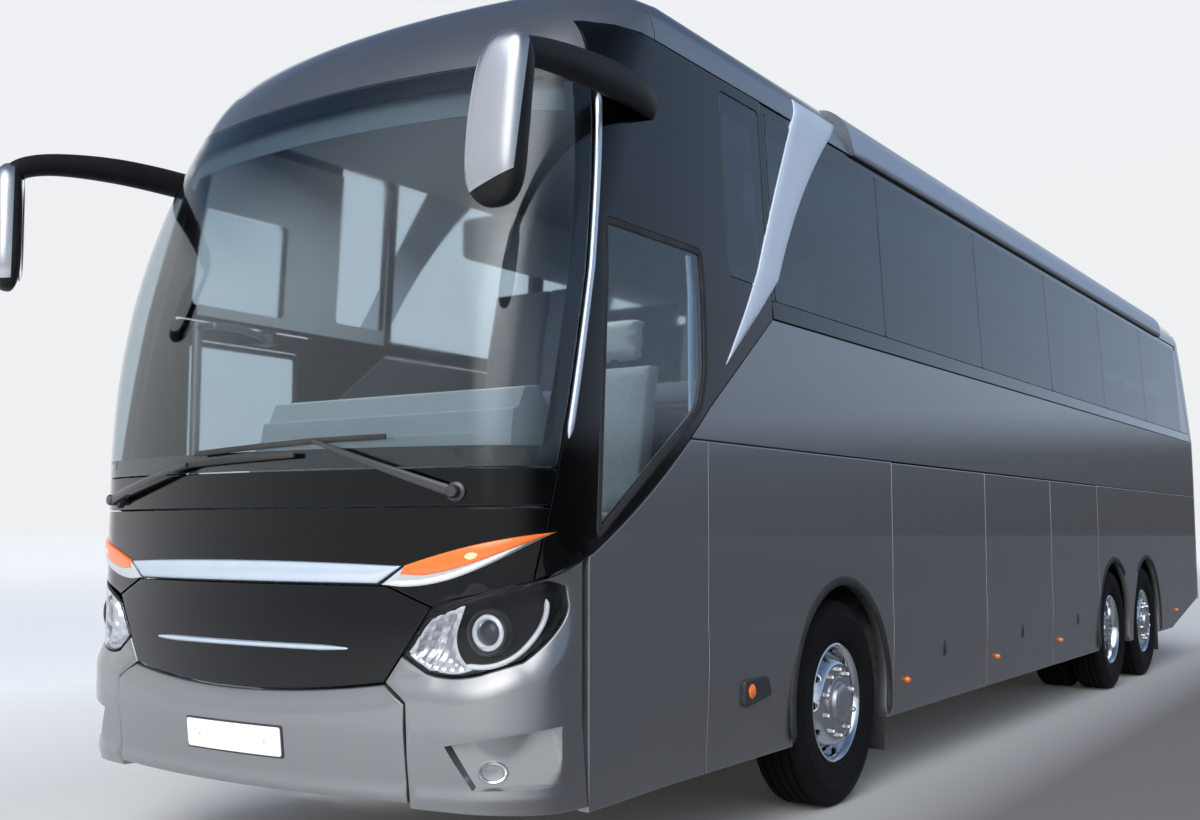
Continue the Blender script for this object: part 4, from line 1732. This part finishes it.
rear_glass_ring = upright(-1.0, 1.0, 2.480, 3.280, 0.06)
clear_of_flap = GAP / 2
holes = [upright(-FLAP_Y - clear_of_flap, FLAP_Y + clear_of_flap, FLAP_Z[0] - clear_of_flap,
                 FLAP_Z[1] + clear_of_flap, 0.01), rear_glass_ring]
lamp_rings = [upright(side * LAMP_Y[0], side * LAMP_Y[1], *LAMP_Z, 0.03) for side in (1, -1)]
band_folds = [[(s, z) for s in np.linspace(-1.6, 1.6, 90) if abs(s) < rear_side(z) - 0.02] for z in BAND_Z]
rear_wall = show("rear_wall_panel", sheet(
    tail, rear_ring, holes + lamp_rings, grid=(0.06, 0.06), rim=0.004, thick=0.03, creases=band_folds),
    coach_paint)
two_tone(rear_wall, black_gloss, lambda p: BAND_Z[0] < p.z < BAND_Z[1])
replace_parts(rear_wall, "rear_wall")
rear_glass = show(
    "rear_window_glass", sheet(tail, set_in(rear_glass_ring, 0.003), grid=(0.1, 0.1), rim=0.002, thick=0.005),
    tinted, 60.0)
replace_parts(rear_glass, "rear_window")

# The engine flap: a painted panel round a louvred black vent, with a pull and two locks.
vent = upright(-VENT_Y, VENT_Y, *VENT_Z, 0.04)
flap_skin = sheet(tail, upright(-FLAP_Y, FLAP_Y, *FLAP_Z, 0.008), [vent], grid=(0.06, 0.05), rim=0.004,
                  thick=0.035)
engine_flap = show("engine_flap_panel", flap_skin, coach_paint, body="engine_flap")
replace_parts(engine_flap, "engine_flap")
slats = [sheet(tail, upright(-VENT_Y - 0.01, VENT_Y + 0.01, VENT_Z[0] - 0.01, VENT_Z[1] + 0.01, 0.01),
               grid=(0.1, 0.1), rim=0.002, thick=0.005, base=-0.03)]
for z in np.linspace(VENT_Z[0] + 0.022, VENT_Z[1] - 0.022, 9):
    slats.append(sheet(tail, upright(-VENT_Y - 0.005, VENT_Y + 0.005, z - 0.01, z + 0.01, 0.004),
                       grid=(0.1, 0.02), thick=0.024, base=-0.004))
slats.append(sheet(tail, upright(-0.16, 0.16, 0.965, 1.005, 0.015), grid=(0.05, 0.02), rim=0.005, thick=0.01,
                   base=0.01))
for y in (-0.70, 0.70):
    slats.append(sheet(tail, upright(y - 0.025, y + 0.025, 0.8, 0.86, 0.015), grid=(0.05, 0.02), thick=0.01,
                       base=0.004))
show("engine_vent", joined(slats), black_plastic, body="engine_flap")

# Rear lamps: a black bezel with orange, red and clear lenses over each other.
red_lens = ribbed_lens("red_lens", (0.55, 0.010, 0.008), 90.0, 0.12)
white_lens = ribbed_lens("white_lens", (0.80, 0.82, 0.84), 90.0)
LENSES = (("orange", orange_lens, "orange_lens", ((1.640, 1.775),)),
          ("red", red_lens, "red_lens", ((1.330, 1.625), (0.925, 1.175))),
          ("clear", white_lens, "lamp_lens", ((1.190, 1.315),)))
lens_holes = [upright(LAMP_Y[0] + 0.018, LAMP_Y[1] - 0.018, low, high, 0.02)
              for *named, spans in LENSES for low, high in spans]
bezel = sheet(tail, set_in(lamp_rings[0], 0.003), lens_holes, grid=(0.04, 0.04), rim=0.004, thick=0.03,
              base=0.002)
bezels = show("tail_lamp_bezels", both(bezel), black_gloss)
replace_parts(bezels, "tail_lamps")
for name, material, slot, spans in LENSES:
    lenses = [sheet(tail, upright(LAMP_Y[0] + 0.02, LAMP_Y[1] - 0.02, low + 0.002, high - 0.002, 0.018),
                    grid=(0.02, 0.02), rim=0.006, thick=0.02, base=0.006) for low, high in spans]
    if name == "red":
        lenses.append(other_side(sheet(tail, upright(-0.25, 0.25, 3.325, 3.355, 0.01), grid=(0.03, 0.02),
                                       thick=0.01, base=0.004)))
    show("tail_lenses_" + name, both(joined(lenses)), material, 60.0)

# ---- Roof hatches and mud flaps ----
# Two low glass-fibre hatches on the roof's middle line, and rubber flaps behind the wheels.
hatches = [block((x - 0.38, -0.33, TOP_Z - 0.06), (x + 0.38, 0.33, TOP_Z + 0.028), 0.02) for x in (1.6, -3.6)]
show("roof_hatches", joined(hatches), coach_paint, 20.0)
mud_flaps = [block((x - 0.006, 0.86, 0.20), (x + 0.006, 1.235, high), 0.003)
             for x, high in ((AXLE_X - 0.612, 0.60), (TAG_AXLE_X - 0.605, 0.62))]
show("mud_flaps", both(joined(mud_flaps)), rubber)


# ---- Cab ----
# A soft-touch grey desk with a stepped top and a hooded binnacle, the steering column and
# wheel, and the driver's sprung seat.
desk_grey = moulded("desk_grey", (0.56, 0.58, 0.59), 0.48, 0.05, 0.3)
DESK_Y = (-0.760, 1.190)
LAMP_BACK_X, LAMP_TOP_Z = 6.02, 1.30      # the left headlamp's bowl takes the room ahead of and under these


def desk_depth(y, z):
    """The farthest forward that the desk reaches, just inside the nose."""
    reach = min(6.36, float(nose.place(nose.from_y(y, z), z, -0.075)[0]))
    return min(reach, LAMP_BACK_X) if z < LAMP_TOP_Z and y > 0.6 else reach


def bar_along(section, ys, ahead=None):
    """A closed bar across the coach: a ring of (x, z), each x at most as far forward as ahead."""
    return lofted([[(min(x, ahead(y, z)) if ahead else x, y, z) for x, z in section] for y in ys])


shelf = rounded([(5.835, 1.492), (6.37, 1.492), (6.37, 1.600), (6.22, 1.603), (6.205, 1.585), (6.10, 1.583),
                 (6.085, 1.565), (5.98, 1.562), (5.965, 1.545), (5.84, 1.540)], 0.012)
lower = rounded([(5.87, 1.02), (6.30, 1.02), (6.33, 1.485), (5.87, 1.485)], 0.03)
hood = rounded([(5.86, 1.53), (6.14, 1.53), (6.10, 1.640), (5.98, 1.665), (5.88, 1.640)], 0.02)
crown = rounded([(6.0, 1.59), (6.34, 1.59), (6.33, 1.69), (6.305, 1.695), (6.295, 1.775), (6.27, 1.78),
                 (6.255, 1.86), (6.225, 1.865), (6.19, 1.945), (6.1, 1.96), (6.02, 1.86)], 0.008)
desk_foot = [(6.06, 1.02), (6.30, 1.02), (6.33, 1.485), (6.06, 1.485)]
desk = [bar_along(section, np.linspace(*span), desk_depth) for section, span in (
    (crown, (-0.20, 1.12, 24)), (shelf, (*DESK_Y, 40)), (lower, (-0.75, 0.37, 16)), (lower, (1.07, 1.185, 6)),
    (desk_foot, (0.37, 1.07, 12)), (hood, (0.46, 0.98, 14)))]
WHEEL_TILT = radians(25.0)
wheel_axis = (-sin(WHEEL_TILT), 0.0, cos(WHEEL_TILT))
WHEEL_AT = (5.770, 0.720, 1.750)
column = turned([(0.038, -0.56), (0.038, -0.07), (0.001, -0.07)], WHEEL_AT, wheel_axis, 32)
dashboard = show("desk", joined(desk + [column]), desk_grey, 35.0)
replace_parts(dashboard, "dashboard")

WHEEL_R = 0.225
grip = [(WHEEL_R + 0.015 * cos(t), 0.015 * sin(t)) for t in np.linspace(0, 2 * pi, 17)]
grip[-1] = grip[0]
wheel = [turned(grip, WHEEL_AT, wheel_axis, 72), turned(
    [(0.06, -0.052), (0.07, -0.03), (0.066, -0.014), (0.05, -0.008), (0.001, -0.006)], WHEEL_AT, wheel_axis,
    32)]
across = Vector((0, 1, 0))
over = Vector(wheel_axis).cross(across)
for turn in (90.0, 210.0, 330.0):
    arm_way = across * sin(radians(turn)) + over * -cos(radians(turn))
    line = [Vector(WHEEL_AT) + arm_way * r + Vector(wheel_axis) * h
            for r, h in ((0.04, -0.02), (0.12, -0.018), (0.19, -0.008), (0.222, 0.0))]
    wheel.append(swept([(*p, wide, 0.006) for p, wide in zip(line, (0.022, 0.016, 0.013, 0.012))], 12,
                       wheel_axis))
steering = show("steering_wheel_rim", joined(wheel), black_plastic, 50.0,
                body="steering_wheel")
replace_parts(steering, "steering_wheel")


def prism(section, y0, y1, cuts=8):
    """A closed block between two y planes from a ring (x, z)."""
    return bar_along(section, np.linspace(y0, y1, cuts))


def stuffed(solid, voxel, most):
    """A cover filled until it swells, no point moving farther than most: points and faces."""
    mesh = bpy.data.meshes.new("cover")
    mesh.from_pydata([tuple(p) for p in solid[0]], [], solid[1])
    cover = bpy.data.objects.new("cover", mesh)
    bpy.context.scene.collection.objects.link(cover)
    fine = cover.modifiers.new("cloth_net", "REMESH")
    fine.mode, fine.voxel_size = "VOXEL", voxel
    graph = bpy.context.evaluated_depsgraph_get()
    cover.data = bpy.data.meshes.new_from_object(cover.evaluated_get(graph))
    cover.modifiers.clear()
    rest = np.array([tuple(v.co) for v in cover.data.vertices])
    faces = [tuple(p.vertices) for p in cover.data.polygons]
    after = rest
    cloth = cover.modifiers.new("filling", "CLOTH")
    cloth.settings.use_pressure = True
    cloth.settings.uniform_pressure_force = 4.0
    cloth.settings.effector_weights.gravity = 0.0
    for moment in range(1, 21):
        bpy.context.scene.frame_set(moment)
    graph = bpy.context.evaluated_depsgraph_get()
    blown = cover.evaluated_get(graph).to_mesh()
    after = np.array([tuple(v.co) for v in blown.vertices])
    bpy.context.scene.frame_set(1)
    shift = after - rest
    reach = np.linalg.norm(shift, axis=1, keepdims=True)
    shift *= np.minimum(1.0, most / np.maximum(reach, 1e-9))
    bpy.data.objects.remove(cover)
    return rest + shift, faces


def upholstery(name, colour, scale):
    """Woven seat cloth: a twill line and a darker fleck."""
    material, tree, shader = finish(name, Roughness=0.85, Sheen_Weight=0.3)
    where = own_places(tree)
    lines = node(tree, "TexWave", {"Vector": where, "Scale": scale, "Distortion": 1.5, "Detail": 2.0},
                 bands_direction="DIAGONAL").outputs[1]
    shade = maths(tree, "MULTIPLY_ADD", lines, 0.25, noise(tree, where, 60.0, 4.0))
    feed(shader, {"Base Color": mixed(tree, shade, (*(0.55 * c for c in colour), 1), (*colour, 1)),
                  "Normal": bumped(tree, lines, 0.3, 0.001)})
    return material


seat_cloth = upholstery("seat_cloth", (0.46, 0.48, 0.49), 220.0)
SEAT_X = AXLE_X + 1.64
seat_base = [block((SEAT_X - 0.18, 0.56, 1.0), (SEAT_X + 0.18, 0.88, 1.06), 0.01)]
seat_base += [block((SEAT_X - 0.14, 0.60, 1.06 + 0.045 * k), (SEAT_X + 0.14, 0.84, 1.10 + 0.045 * k), 0.015)
              for k in range(6)]
seat_base += [block((SEAT_X - 0.22, 0.52, 1.33), (SEAT_X + 0.22, 0.92, 1.365), 0.01),
              block((SEAT_X - 0.31, 0.70, 2.16), (SEAT_X - 0.29, 0.74, 2.22), 0.004)]
driver_seat = show("driver_seat_base", joined(seat_base), black_plastic, 35.0)
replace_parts(driver_seat, "driver_seat")
DRIVER_PADS = (("driver_cushion", [(SEAT_X - 0.24, 1.372), (SEAT_X + 0.25, 1.372), (SEAT_X + 0.255, 1.45),
                                   (SEAT_X + 0.23, 1.485), (SEAT_X - 0.22, 1.475)], 0.49, 0.95, 0.7),
               ("driver_back", [(SEAT_X - 0.245, 1.49), (SEAT_X - 0.135, 1.49), (SEAT_X - 0.255, 2.17),
                                (SEAT_X - 0.343, 2.17)], 0.495, 0.945, 0.7),
               ("driver_headrest", [(SEAT_X - 0.268, 2.2), (SEAT_X - 0.35, 2.2), (SEAT_X - 0.378, 2.39),
                                    (SEAT_X - 0.3, 2.39)][::-1], 0.6, 0.84, 0.8))
for name, section, y0, y1, fill in DRIVER_PADS:
    pad = show(name, stuffed(prism(section, y0, y1), 0.014, 0.01), seat_cloth, 60.0)
    pad.modifiers.new("soft", "SUBSURF").levels = 1
    pad.modifiers["soft"].render_levels = 1


# ---- Passenger seats ----
# Twelve rows of double seats on steel legs: one stuffed cushion and one back a place, all sewn
# from the same cloth, with none over the middle doorway.
FIRST_ROW_X, ROW_PITCH, ROWS = AXLE_X + 0.25, 0.80, 12
one_cushion = prism([(-0.222, 2.088), (0.222, 2.088), (0.226, 2.15), (0.2, 2.192), (-0.215, 2.188)], 0.276,
                    0.706)
one_back = prism([(-0.345, 2.215), (-0.24, 2.215), (-0.285, 2.55), (-0.374, 2.912), (-0.455, 2.912)], 0.28,
                 0.706)
place_pads = [stuffed(one_cushion, 0.024, 0.010), stuffed(one_back, 0.024, 0.010)]
cushions, backs, legs = [], [], []
for row in range(ROWS):
    x = FIRST_ROW_X - row * ROW_PITCH
    for side in (1, -1):
        if side < 0 and -2.250 < x < -0.310:
            continue
        leg = joined([
            block((x - 0.15, 0.56, 1.782), (x + 0.15, 0.60, 2.075), 0.006),
            block((x - 0.15, 0.82, 1.782), (x + 0.15, 0.86, 2.075), 0.006),
            block((x - 0.20, 0.30, 2.060), (x + 0.20, 1.12, 2.084), 0.006),
            block((x - 0.26, 0.276, 2.10), (x + 0.14, 0.288, 2.30), 0.005)])
        legs.append(on_side(side, leg))
        for pads, solid in ((cushions, place_pads[0]), (backs, place_pads[1])):
            for across in (0.0, 0.438):
                made = moved(solid, (x, across, 0.0))
                pads.append(on_side(side, made))
seat_steel = moulded("seat_frame_grey", (0.05, 0.05, 0.055), 0.45, 0.1, 0.2)
seat_frames = show("seat_frames", joined(legs), seat_steel, 35.0)
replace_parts(seat_frames, "passenger_seats")
saloon_cloth = upholstery("saloon_cloth", (0.13, 0.14, 0.17), 180.0)
for name, pads in (("seat_cushions", cushions), ("seat_backs", backs)):
    show(name, joined(pads), saloon_cloth, 60.0)

# ---- Saloon lining ----
# Pale ceiling panels and the closed luggage racks along both sides, fixed to the roof's hoops.
lining = moulded("lining_cloth", (0.42, 0.44, 0.46), 0.75, 0.05, 0.4)
arch = [(1.10 * sin(t), 3.42 + 0.16 * cos(t)) for t in np.linspace(-pi / 2, pi / 2, 24)]
arch = arch + [(y * 0.985, z - 0.012) for y, z in arch[::-1]]
ceiling = flipped(lofted([[(x, y, z) for y, z in arch] for x in np.linspace(-5.9, 5.35, 24)]))
show("ceiling", ceiling, lining, 50.0)
rack = [block((x0 + 0.004, 0.78, 3.10), (x0 + 0.796, 1.19, 3.36), 0.04) for x0 in np.arange(-5.8, 3.4, 0.8)]
show("luggage_racks", both(joined(rack)), lining, 25.0)
# Pressed trim inside the cab's black panels and under the front cap.
cab_lining = moulded("cab_lining", (0.26, 0.285, 0.31), 0.6, 0.05, 0.3)
for name, outline, windows in (
        ("left", [p for p in cab_left if p[0] < 5.85], [driver_ring, quarter_ring]),
        ("right", box_ring(CAB_REAR_X + 0.01, 5.80, 2.47, 3.40), [over_door_ring, quarter_ring])):
    side = 1 if name == "left" else -1
    liner = side_sheet(set_in(outline, 0.012), side, [set_in(w, 0.004) for w in windows], step=0.05,
                       grid=(0.1, 0.1), rim=0.002, thick=0.004, base=-0.048)
    show("cab_lining_" + name, liner, cab_lining)
show("cab_header", sheet(nose, screen_ring(1.42, -0.13, 0.1), grid=(0.1, 0.05), thick=0.01, base=-0.05),
     cab_lining)

# ---- Floors, frame and running gear ----
# Speckled vinyl on the floors and steps, painted chassis rails, cast axles and a plain engine.
vinyl = moulded("floor_vinyl", (0.26, 0.27, 0.285), 0.55, 0.3, 0.6)
bay_felt = moulded("bay_felt", (0.05, 0.05, 0.055), 0.9, 0.3, 0.8)
chassis = moulded("chassis_paint", (0.018, 0.018, 0.020), 0.55, 0.5, 0.5)
cast_iron = bright_metal("cast_iron", (0.10, 0.10, 0.105), 0.55, 0.5, 0.8, 0.3)
block_metal = bright_metal("engine_casting", (0.22, 0.22, 0.23), 0.5, 0.5, 0.9, 0.3)
DRESSED = (
    ("passenger_floor", vinyl, "floor"), ("entrance_steps", vinyl, "floor"),
    ("luggage_floor", bay_felt, "floor"), ("underframe", chassis, "frame_metal"),
    ("front_axle", cast_iron, "cast"), ("knuckle_left", cast_iron, "cast"),
    ("knuckle_right", cast_iron, "cast"), ("rear_axles", cast_iron, "cast"), ("engine", block_metal, "cast"))
for name, material, slot in DRESSED:
    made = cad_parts[name]
    made.data.materials.clear()
    made.data.materials.append(material)
low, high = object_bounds()
